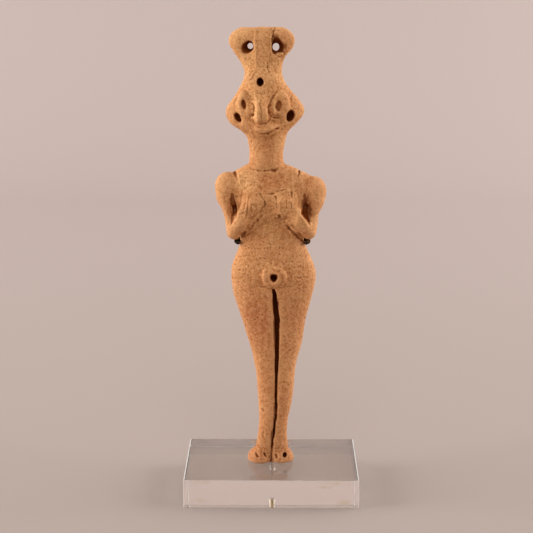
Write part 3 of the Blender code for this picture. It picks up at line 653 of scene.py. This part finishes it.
def add_hole(bm, depth_at, mouth, bottom, deep, end, front=HOLE_FRONT, growth=1.0):
    """A tapered pin as a poked hole's shape, from a distance in front of the clay's surface, in mm."""
    middle, rim = spaced_outline(mouth)
    end_middle, end_rim = spaced_outline(bottom)
    face = mouth_depth(depth_at, middle, rim)
    rings = []
    for share, depth in ((0, front), (0, max(front + 0.1, 0)), (0.5, 0.4 * deep), (1, deep), (1, end)):
        places = (middle + rim * growth) * (1 - share) + (end_middle + end_rim * growth) * share
        rings.append([bm.verts.new(from_photo(*place, face + depth * MM)) for place in places])
    skin(bm, rings)


def slot_faces(depth_at, rows):
    """The depth of the clay's surface just left and right of each row of a slot."""
    faces = []
    for row, left, right, _ in rows:
        sides = [depth_at(left - SLOT_SIDE, row), depth_at(right + SLOT_SIDE, row)]
        found = [side for side in sides if side is not None]
        if found:
            faces.append([sum(found) / len(found) if side is None else side for side in sides])
        else:
            faces.append(faces[-1])
    return faces


def add_slot(bm, depth_at, rows, front=SLOT_FRONT, growth=0.0):
    """A blade as a slot's shape, from a distance in front of the clay's surface, in mm."""
    rings = []
    for (row, left, right, deep), (left_face, right_face) in zip(rows, slot_faces(depth_at, rows)):
        centre, half = (left + right) / 2, (right - left) / 2 + growth
        right_side = [(1.05, front), (1.0, max(front + 0.1, 0.1 * deep)), (0.7, 0.6 * deep), (0.3, deep)]
        corners = [(-1.05, front)] + right_side + [(-side, depth) for side, depth in right_side[:0:-1]]
        ring = []
        for side, depth in corners:
            face = left_face + (right_face - left_face) * (side + 1) / 2
            ring.append(bm.verts.new(from_photo(centre + side * half, row, face + depth * MM)))
        rings.append(ring)
    skin(bm, rings)


def cut(obj, tool):
    step = obj.modifiers.new("cut", "BOOLEAN")
    step.operation = "DIFFERENCE"
    step.solver = "EXACT"
    step.object = tool
    settle(obj)
    bpy.data.objects.remove(tool)


def along_line(places, line):
    """Which places lie near a line of columns, rows and half widths, and how deep in its groove each is.

    The groove is as deep as it can be where the line is widest, and shallower where it thins.
    """
    line = np.array(line, float)
    widest = line[:, 2].max()
    reach = GROOVE_REACH * widest
    low, high = line[:, :2].min(0) - reach, line[:, :2].max(0) + reach
    near = np.flatnonzero(((places > low) & (places < high)).all(1))
    share = np.zeros(len(near))
    for start, end in zip(line, line[1:]):
        run = end[:2] - start[:2]
        offset = places[near] - start[:2]
        t = np.clip(offset @ run / (run @ run), 0, 1)
        gap = np.linalg.norm(offset - t[:, None] * run, axis=1)
        half = start[2] + (end[2] - start[2]) * t
        share = np.maximum(share, half / widest * np.exp(-(gap / half) ** 2))
    return near, share


def facing_camera(directions):
    """How squarely each direction faces the camera."""
    return -directions @ SIGHT


def pricked_dots():
    """Column, row and half width of every dot pricked round the hips."""
    random = np.random.default_rng(SEED)
    dots = []
    for left_row, right_row, first, last in DOT_ROWS:
        for column in np.arange(first, last + 0.1, DOT_PITCH):
            row = left_row + (right_row - left_row) * (column - first) / max(last - first, 1)
            shift = random.normal(0, DOT_SCATTER, 2)
            if random.random() < DOTS_LEFT:
                dots.append((column + shift[0], row + shift[1], random.uniform(*DOT_HALF)))
    return dots


def carve(points, directions):
    """Depth of the grooves and height of the ridges at each point of the clay, in metres."""
    wobble = [lumps(points, WOBBLE_SIZE, seed) for seed in (11, 12)]
    places = to_photo(points) + WOBBLE * np.column_stack(wobble)
    facing = facing_camera(directions)
    front = soft_step(*GROOVE_FACING, facing)
    depth = np.zeros(len(points))
    height = np.zeros(len(points))
    for lines, result in ((GROOVES, depth), (RIDGES, height)):
        for most, line in lines.values():
            near, share = along_line(places, line)
            result[near] = np.maximum(result[near], share * most * MM * front[near])
    worn = lumps(points, GROOVE_WEAR, 6)
    left = np.clip(WEAR_MEAN + WEAR_SPREAD * worn, *WEAR_RANGE)
    depth = np.maximum(depth * left, depth - WEAR_MOST)
    both_sides = soft_step(*GROOVE_FACING, np.abs(facing))
    for column, row, half in pricked_dots():
        near = np.flatnonzero((np.abs(places - (column, row)) < GROOVE_REACH * half).all(1))
        gap = np.linalg.norm(places[near] - (column, row), axis=1)
        share = np.exp(-(gap / half) ** 2) * both_sides[near]
        depth[near] = np.maximum(depth[near], share * DOT_DEPTH)
    return depth, height


def pits(points):
    """Depth of the small pits that burnt-out grit left all over the clay."""
    random = np.random.default_rng(SEED + 1)
    tree = KDTree(len(points))
    for index, point in enumerate(points.tolist()):
        tree.insert(point, index)
    tree.balance()
    depth = np.zeros(len(points))
    for index in random.choice(len(points), PIT_COUNT, replace=False):
        half = random.uniform(*PIT_HALF)
        deep = half * random.uniform(*PIT_DEPTH)
        for _, near, gap in tree.find_range(points[index].tolist(), 2 * half):
            depth[near] = max(depth[near], deep * math.exp(-(gap / half) ** 2))
    return depth


def hollows(data, reach):
    """How far the surface lies below the mean of its surroundings, out to a number of edges."""
    mean = neighbour_mean(data)
    points, directions = read_surface(data)
    smooth = points
    for _ in range(reach):
        smooth = mean(smooth)
    return ((smooth - points) * directions).sum(1)


def keep_values(data, name, values, domain="POINT"):
    data.attributes.new(name, "FLOAT", domain).data.foreach_set("value", values.astype(np.float32))


def in_openings(places, points, depth_at):
    """How far inside a hole or slot each point is, from 0 at its mouth to 1 at 1.5 mm and more."""
    inside = np.zeros(len(points))
    for mouth, bottom, deep, end in HOLES.values():
        middle, rim = spaced_outline(mouth)
        end_middle, end_rim = spaced_outline(bottom)
        down = points[:, 1] - mouth_depth(depth_at, middle, rim)
        share = np.clip(down / (deep * MM), 0, 1)
        offsets = places - middle - share[:, None] * (end_middle - middle)
        angles = np.arctan2(offsets[:, 1], offsets[:, 0])
        reach = outline_reach(rim, angles) * (1 - share) + outline_reach(end_rim, angles) * share
        within = np.hypot(offsets[:, 0], offsets[:, 1]) < reach + OPENING_EDGE
        within &= down < end * MM + OPENING_END
        inside = np.maximum(inside, within * np.clip(down / HOLE_SHADE_DEPTH, 0, 1))
    for rows in SLOTS.values():
        table = np.array(rows)
        left, right, deep = (np.interp(places[:, 1], table[:, 0], table[:, part]) for part in (1, 2, 3))
        sides = np.array(slot_faces(depth_at, rows))
        left_face, right_face = (np.interp(places[:, 1], table[:, 0], sides[:, side]) for side in (0, 1))
        across = np.clip((places[:, 0] - left) / (right - left), 0, 1)
        down = points[:, 1] - left_face - (right_face - left_face) * across
        within = (places[:, 0] > left - OPENING_EDGE) & (places[:, 0] < right + OPENING_EDGE)
        within &= (places[:, 1] > table[0, 0]) & (places[:, 1] < table[-1, 0])
        within &= down < deep * MM + OPENING_END
        inside = np.maximum(inside, within * np.clip(down / HOLE_SHADE_DEPTH, 0, 1))
    return inside


def from_oval(places, column, row, half_wide, half_tall):
    """How far each place is from an oval's middle, 1 at its outline."""
    return np.hypot((places[:, 0] - column) / half_wide, (places[:, 1] - row) / half_tall)


def patches(places, table, directions):
    """How strongly each point lies in the patches of a table, on the side that faces the camera."""
    front = soft_step(*PATCH_FACING, facing_camera(directions))
    strength = np.zeros(len(places))
    for *spot, strong in table:
        share = soft_step(*PATCH_EDGE, from_oval(places, *spot))
        strength = np.maximum(strength, strong * share * front)
    return strength


def fill_openings(clay):
    """Fills the solid's holes and slots to just below their mouths, so that they can be cut again finely."""
    depth_at = surface_finder(clay)
    bm = bmesh.new()
    for mouth, _, deep, end in HOLES.values():
        deep = max(deep - 0.2, FILL_FRONT + 0.3)
        add_hole(bm, depth_at, mouth, mouth, deep, min(end, FILL_BACK), FILL_FRONT, HOLE_FILL)
    for rows in SLOTS.values():
        add_slot(bm, depth_at, rows, FILL_FRONT, SLOT_FILL)
    for column, row, half_wide, half_tall, raised in FILLED_VALLEYS:
        middle = from_photo(column, row, depth_at(column, row) + FILL_SUNK)
        size = Matrix.Diagonal((half_wide * PIXEL, raised * MM + FILL_SUNK, half_tall * PIXEL, 1))
        bmesh.ops.create_uvsphere(bm, u_segments=24, v_segments=16, radius=1.0,
                                  matrix=Matrix.Translation(middle) @ size)
    bmesh.ops.recalc_face_normals(bm, faces=bm.faces)
    bm.from_mesh(clay.data)
    bm.to_mesh(clay.data)
    bm.free()


def soften(data):
    """Presses flat and smooths the joins that hardly show in the photograph."""
    mean = neighbour_mean(data)
    points, directions = read_surface(data)
    places = to_photo(points)
    front = soft_step(*SOFT_FACING, facing_camera(directions))
    for *spot, base, pressed in FLATTENED:
        raised = np.maximum(-points[:, 1] - base * MM, 0)
        points[:, 1] += raised * pressed * soft_step(*FLAT_EDGE, from_oval(places, *spot))
    for *spot, repeats in SOFTENED:
        share = soft_step(*SOFT_EDGE, from_oval(places, *spot)) * front
        for _ in range(repeats):
            points += (mean(points) - points) * share[:, None]
    set_coordinates(data, points)


def shape_surface(data):
    """Raises the ridges, cuts the grooves and roughens the clay."""
    points, directions = read_surface(data)
    depth, height = carve(points, directions)
    rough = np.zeros(len(points))
    for size, tall, seed in CLAY_LUMPS:
        rough += tall * lumps(points, size, seed)
    coarse = patches(to_photo(points), COARSE_PATCHES, directions)
    for size, tall, seed in COARSE_LUMPS:
        rough += coarse * tall * lumps(points, size, seed)
    rough += STROKE_HEIGHT * lumps(points / (1, 1, STROKE_STRETCH), STROKE_SIZE, 9)
    rough -= pits(points)
    points += directions * (height - depth + rough)[:, None]
    low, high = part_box("figurine")
    points = np.clip(points, np.array(low) - SKIN_ROOM, np.array(high) + SKIN_ROOM)
    set_coordinates(data, points)


def keep_marks(data, depth_at):
    """Keeps for the clay's colours where it is fired, pale or painted with a highlight, coarse, worn or
    inside an opening, and where painted shade darkens it.
    """
    points, directions = read_surface(data)
    places = to_photo(points)
    for name, table in (("fired", FIRED_PATCHES), ("pale_and_highlight", PALE_AND_HIGHLIGHT_PATCHES), ("coarse", COARSE_PATCHES)):
        keep_values(data, name, patches(places, table, directions))
    # painted shade: the hollows, the grooves and the patches where shade falls
    painted_shade = np.zeros(len(points))
    for reach, full, strong, most in (NEAR_HOLLOW, WIDE_HOLLOW):
        painted_shade += np.clip(strong * hollows(data, reach) / full, 0, most)
    depth, _ = carve(points, directions)
    begins, run, most = GROOVE_SHADE
    painted_shade = np.maximum(painted_shade, np.clip((depth - begins) / run, 0, most))
    spread = np.clip(0.8 + 1.2 * lumps(points, SHADE_SPOTS, 15), 0, 1)
    painted_shade = np.maximum(painted_shade, spread * patches(places, SHADE_PATCHES, directions))
    keep_values(data, "painted_shade", np.clip(painted_shade, 0, 1))
    keep_values(data, "inside", in_openings(places, points, depth_at))
    reach, full = NEAR_HOLLOW[:2]
    keep_values(data, "worn", np.clip(-WORN * hollows(data, reach) / full, 0, 1))


def clay_figurine():
    clay = welded_copy("figurine", "clay_figurine")
    fill_openings(clay)
    remesh(clay, JOIN_GRAIN, JOIN_SMOOTHING)
    settle(clay)
    soften(clay.data)
    depth_at = surface_finder(clay)
    bm = bmesh.new()
    for hole in HOLES.values():
        add_hole(bm, depth_at, *hole)
    for rows in SLOTS.values():
        add_slot(bm, depth_at, rows)
    bmesh.ops.recalc_face_normals(bm, faces=bm.faces)
    cut(clay, add_object("cutters", mesh_from("cutters", bm)))
    remesh(clay, FINE_GRAIN, FINE_SMOOTHING)
    settle(clay)
    shape_surface(clay.data)
    triangles = sum(len(face.vertices) - 2 for face in clay.data.polygons)
    thin_out(clay, min(1, FINE_TRIANGLES / triangles))
    clay.data.shade_smooth()
    keep_marks(clay.data, depth_at)
    return clay


def feed(tree, made, inputs):
    """Gives a node's inputs their numbers and colours, or links them to the sockets they are given."""
    for key, value in inputs.items():
        if isinstance(value, bpy.types.NodeSocket):
            tree.links.new(value, made.inputs[key])
        else:
            made.inputs[key].default_value = value


def add_node(tree, kind, settings=None, **inputs):
    """A node with its settings, and inputs named with _ for each space."""
    made = tree.nodes.new(kind)
    for key, value in (settings or {}).items():
        setattr(made, key, value)
    feed(tree, made, {key.replace("_", " "): value for key, value in inputs.items()})
    return made


def new_material(name):
    """A material with its node tree, its shader and the socket of a place on the object."""
    made = bpy.data.materials.new(name)
    made.use_nodes = True
    tree = made.node_tree
    place = add_node(tree, "ShaderNodeTexCoord").outputs["Object"]
    return made, tree, tree.nodes["Principled BSDF"], place


def noise_map(tree, place, scale, detail, roughness):
    made = add_node(
        tree, "ShaderNodeTexNoise", Vector=place, Scale=scale, Detail=detail, Roughness=roughness)
    return made.outputs["Fac"]


def stretch(tree, value, low, high, to_low=0.0, to_high=1.0):
    made = add_node(tree, "ShaderNodeMapRange", {"clamp": True}, Value=value, From_Min=low, From_Max=high,
                    To_Min=to_low, To_Max=to_high)
    return made.outputs["Result"]


def mottling(tree, place, name):
    *kind, low, high, to_low, to_high = MOTTLING[name]
    return stretch(tree, noise_map(tree, place, *kind), low, high, to_low, to_high)


def blend_colours(tree, share, first, second, kind="MIX"):
    made = add_node(tree, "ShaderNodeMix", {"data_type": "RGBA", "blend_type": kind})
    feed(tree, made, {0: share, 6: first, 7: second})
    return made.outputs[2]


def attribute(tree, name):
    return add_node(tree, "ShaderNodeAttribute", {"attribute_name": name}).outputs["Fac"]


def math_node(tree, operation, first, second):
    made = add_node(tree, "ShaderNodeMath", {"operation": operation})
    feed(tree, made, {0: first, 1: second})
    return made.outputs[0]


def vector_node(tree, operation, *values):
    made = add_node(tree, "ShaderNodeVectorMath", {"operation": operation})
    feed(tree, made, dict(enumerate(values)))
    return made.outputs["Value" if operation == "LENGTH" else "Vector"]


def axes(tree, vector):
    """The sockets of a vector's X, Y and Z."""
    return add_node(tree, "ShaderNodeSeparateXYZ", Vector=vector).outputs


def bumps(tree, height, strength, distance):
    made = add_node(tree, "ShaderNodeBump", Height=height, Strength=strength, Distance=distance)
    return made.outputs["Normal"]


def colour_by_height(tree, place, tones):
    """A colour that changes with height, from (height, colour) stops."""
    lowest, highest = tones[0][0], tones[-1][0]
    height = axes(tree, place)["Z"]
    ramp = add_node(tree, "ShaderNodeValToRGB", Fac=stretch(tree, height, lowest, highest))
    stops = ramp.color_ramp.elements
    while len(stops) < len(tones):
        stops.new(1.0)
    for stop, (at, colour) in zip(stops, tones):
        stop.position = (at - lowest) / (highest - lowest)
        stop.color = colour
    return ramp.outputs["Color"]


def terracotta():
    made, tree, shader, place = new_material("terracotta")
    colour = blend_colours(tree, mottling(tree, place, "orange_clay"), BUFF, ORANGE)
    colour = blend_colours(tree, mottling(tree, place, "red_clay"), colour, RED_CLAY)
    brown = mottling(tree, place, "brown_clay")
    colour = blend_colours(tree, math_node(tree, "MULTIPLY", brown, BROWN_SHARE), colour, BROWN_CLAY)
    colour = blend_colours(tree, attribute(tree, "fired"), colour, RED_CLAY)
    # pale clay, and painted highlights at the chips and on the left hand
    colour = blend_colours(tree, attribute(tree, "pale_and_highlight"), colour, LIGHT_CLAY_AND_HIGHLIGHT)
    colour = blend_colours(tree, 1.0, colour, colour_by_height(tree, place, TONES_BY_HEIGHT), "MULTIPLY")
    grain = blend_colours(tree, mottling(tree, place, "clay_grain"), DARK_GRAIN, LIGHT_GRAIN)
    colour = blend_colours(tree, 1.0, colour, grain, "MULTIPLY")
    colour = blend_colours(tree, mottling(tree, place, "dark_specks"), colour, DARK_SPECK)
    colour = blend_colours(tree, mottling(tree, place, "pale_specks"), colour, PALE_SPECK)
    worn = math_node(tree, "MULTIPLY", attribute(tree, "worn"), WORN_SHARE)
    colour = blend_colours(tree, worn, colour, WORN_CLAY)
    # painted shade in the hollows, grooves and shade patches
    painted_shade = attribute(tree, "painted_shade")
    colour = blend_colours(tree, stretch(tree, painted_shade, *SHADE_SHARE), colour, CREASE_SHADE)
    # painted shade inside the holes and slots, darker with depth
    inside = attribute(tree, "inside")
    colour = blend_colours(tree, inside, colour, HOLE_SHADE)
    dull = math_node(tree, "MAXIMUM", inside, painted_shade)
    relief = math_node(tree, "ADD", *(noise_map(tree, place, *kind) for kind in CLAY_BUMPS))
    strength = stretch(tree, attribute(tree, "coarse"), 0, 1, *CLAY_BUMP_STRENGTH)
    feed(tree, shader, {
        "Base Color": colour,
        "Roughness": stretch(tree, brown, 0, 1, *CLAY_ROUGHNESS),
        "Specular IOR Level": stretch(tree, dull, 0, NO_SHINE, CLAY_SHINE, 0),
        "Normal": bumps(tree, relief, strength, CLAY_BUMP_HEIGHT)})
    return made


def brass():
    made, tree, shader, place = new_material("patinated_brass")
    colour = blend_colours(tree, mottling(tree, place, "bare_brass"), DARK_BRASS, BARE_BRASS)
    foot = stretch(tree, axes(tree, place)["Z"], BLOCK_HEIGHT, BLOCK_HEIGHT - FOOT_HEIGHT)
    colour = blend_colours(tree, foot, colour, POLISHED_BRASS)
    shader.inputs["Metallic"].default_value = 1.0
    shader.inputs["Specular Tint"].default_value = BROWN_GLINT
    uneven = mottling(tree, place, "brass_roughness")
    less = stretch(tree, foot, 0, 1, 1, FOOT_ROUGHNESS)
    feed(tree, shader, {
        "Base Color": colour,
        "Roughness": math_node(tree, "MULTIPLY", uneven, less),
        "Normal": bumps(tree, noise_map(tree, place, *BRASS_BUMPS), BRASS_BUMP_STRENGTH, BRASS_BUMP_HEIGHT)})
    return made


def oval_mask(tree, place, centre, size):
    """1 at a centre, falling to 0 at the surface of an ellipsoid of a half size."""
    offset = vector_node(tree, "DIVIDE", vector_node(tree, "SUBTRACT", place, centre), size)
    return stretch(tree, vector_node(tree, "LENGTH", offset), 1.0, 0.3)


def acrylic():
    made, tree, shader, place = new_material("clear_acrylic")
    marked = 0.0
    for centre, size in GLUE_MARKS:
        mark = oval_mask(tree, place, Vector(centre) * MM, Vector(size) * MM)
        marked = math_node(tree, "MAXIMUM", marked, mark)
    marked = math_node(tree, "MULTIPLY", marked, mottling(tree, place, "glue_smears"))
    colour = blend_colours(tree, marked, CLEAR, GLUE)
    across, _, height = axes(tree, place)
    # the socket's wall: a brown strip where the brass shows, and beside it a bright metallic lining, a
    # painted glint
    beside = math_node(tree, "ABSOLUTE", math_node(tree, "SUBTRACT", across, socket_centre().x), 0.0)
    painted_glint = stretch(tree, beside, THIN_GLUE, GLINT_FROM)
    lining_and_glint = blend_colours(tree, painted_glint, COVERED_BRASS, SOCKET_GLINT)
    glued = stretch(tree, height, GLUE_TOP, GLUE_FULL)
    glued = math_node(tree, "MULTIPLY", glued, attribute(tree, "socket"))
    scraped = attribute(tree, "scraped")
    matt = math_node(tree, "MAXIMUM", scraped, glued)
    clear = stretch(tree, scraped, 0, 1, 1, SCRAPED_CLEAR)
    feed(tree, shader, {
        "Base Color": blend_colours(tree, glued, colour, lining_and_glint),
        "Metallic": math_node(tree, "MULTIPLY", glued, painted_glint),
        "Roughness": stretch(tree, matt, 0, 1, 0, SCRAPED_ROUGHNESS),
        "Transmission Weight": math_node(tree, "SUBTRACT", clear, glued)})
    shader.inputs["IOR"].default_value = ACRYLIC_IOR
    return made


def backdrop_paper():
    made, tree, shader, place = new_material("backdrop_paper")
    # painted shade: the paper darker towards the front
    away = stretch(tree, axes(tree, place)["Y"], 0.0, PAPER_FADE)
    colour = blend_colours(tree, away, SHADED_NEAR_PAPER, FAR_PAPER)
    # painted light on the paper under the block
    apart = vector_node(tree, "ABSOLUTE", place)
    across, along, _ = axes(tree, vector_node(tree, "SUBTRACT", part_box("acrylic_base")[1], apart))
    under = math_node(tree, "MINIMUM", across, along)
    colour = blend_colours(tree, stretch(tree, under, *LIT_PAPER_EDGE), colour, LIT_PAPER_UNDER_BLOCK)
    tree.links.new(colour, shader.inputs["Base Color"])
    shader.inputs["Roughness"].default_value = PAPER_ROUGHNESS
    shader.inputs["Specular IOR Level"].default_value = PAPER_SHINE
    return made


def wire_support():
    wire = welded_copy("mount_rod", "brass_support")
    remesh(wire, WIRE_GRAIN, WIRE_SMOOTHING)
    thin_out(wire, WIRE_SHARE)
    wire.data.shade_smooth()
    return wire


def socket_centre():
    """The middle of the socket's mouth, which is round the foot of the rod."""
    low, high = (Vector(corner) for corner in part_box("mount_rod"))
    return Vector(((low.x + high.x) / 2, high.y - ROD_RADIUS, BLOCK_HEIGHT))


def mark_faces(data):
    """Marks the sawn edges at the block's sides, which are scraped, and the wall of the socket."""
    centre = socket_centre()
    scraped, socket = np.zeros((2, len(data.polygons)))
    for index, face in enumerate(data.polygons):
        across, along, up = face.normal
        upright = abs(up) < LEANING
        side_edge = upright and abs(along) > LEANING and abs(face.center.x) > EDGE_FROM
        scraped[index] = abs(across) > LEANING and (up > LEANING or side_edge)
        socket[index] = upright and (face.center.xy - centre.xy).length < 1.5 * SOCKET_RADIUS
    keep_values(data, "scraped", scraped, "FACE")
    keep_values(data, "socket", socket, "FACE")


def clear_block():
    low, high = (Vector(corner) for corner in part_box("acrylic_base"))
    bm = bmesh.new()
    place = Matrix.Translation((low + high) / 2) @ Matrix.Diagonal((*(high - low), 1))
    bmesh.ops.create_cube(bm, size=1.0, matrix=place)
    weight = bm.edges.layers.float.new("bevel_weight_edge")
    for edge in bm.edges:
        along = (edge.verts[1].co - edge.verts[0].co).normalized()
        edge[weight] = 1.0 if abs(along.y) > 0.9 and edge.verts[0].co.z > low.z + BLOCK_EDGE else OTHER_EDGES
    block = add_object("clear_block", mesh_from("clear_block", bm))
    bevel = block.modifiers.new("edges", "BEVEL")
    bevel.limit_method = "WEIGHT"
    bevel.width = BLOCK_EDGE
    bevel.segments = 4
    settle(block)
    deep = BLOCK_HEIGHT - SOCKET_FLOOR
    bm = bmesh.new()
    bmesh.ops.create_cone(bm, cap_ends=True, segments=64, radius1=SOCKET_RADIUS, radius2=SOCKET_RADIUS,
                          depth=2 * deep, matrix=Matrix.Translation(socket_centre()))
    cut(block, add_object("socket", mesh_from("socket", bm)))
    mark_faces(block.data)
    return block


def backdrop():
    """A floor that turns up into a wall, a hair below the block so that light gets under it."""
    profile = [(-FLOOR_REACH, 0.0)]
    for i in range(WALL_STEPS + 1):
        turn = math.pi / 2 * i / WALL_STEPS
        along = WALL_PLACE - WALL_BEND + WALL_BEND * math.sin(turn)
        profile.append((along, WALL_BEND * (1 - math.cos(turn))))
    profile.append((WALL_PLACE, WALL_HEIGHT))
    bm = bmesh.new()
    sides = [[bm.verts.new((x, y, z - FLOOR_GAP)) for y, z in profile] for x in (-FLOOR_REACH, FLOOR_REACH)]
    for i in range(len(profile) - 1):
        bm.faces.new((sides[0][i], sides[1][i], sides[1][i + 1], sides[0][i + 1]))
    data = mesh_from("backdrop", bm)
    data.shade_smooth()
    return add_object("backdrop", data)


def area_light(name, place, size, watts):
    data = bpy.data.lights.new(name, "AREA")
    data.shape = "RECTANGLE"
    data.size, data.size_y = size
    data.energy = watts
    light = add_object(name, data)
    light.location = place
    light.rotation_euler = (Vector(SUBJECT) - Vector(place)).to_track_quat("-Z", "Y").to_euler()


def world_light():
    world = bpy.data.worlds.new("studio")
    bpy.context.scene.world = world
    world.use_nodes = True
    background = world.node_tree.nodes["Background"]
    background.inputs["Color"].default_value = WORLD_COLOUR
    background.inputs["Strength"].default_value = WORLD_STRENGTH


figurine = clay_figurine()
support = wire_support()
block = clear_block()
for piece, surface, node, slot in (
        (figurine, terracotta(), "figurine", "terracotta"),
        (support, brass(), "mount_rod", "patinated_brass"),
        (block, acrylic(), "acrylic_base", "clear_acrylic")):
    piece.data.materials.clear()
    piece.data.materials.append(surface)
    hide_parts(node)
    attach(piece, "root")

floor = backdrop()
floor.data.materials.append(backdrop_paper())
for light in LIGHTS:
    area_light(*light)
world_light()
scene = bpy.context.scene
scene.view_settings.view_transform = "Standard"
scene.cycles.max_bounces = 24
scene.cycles.transmission_bounces = 24
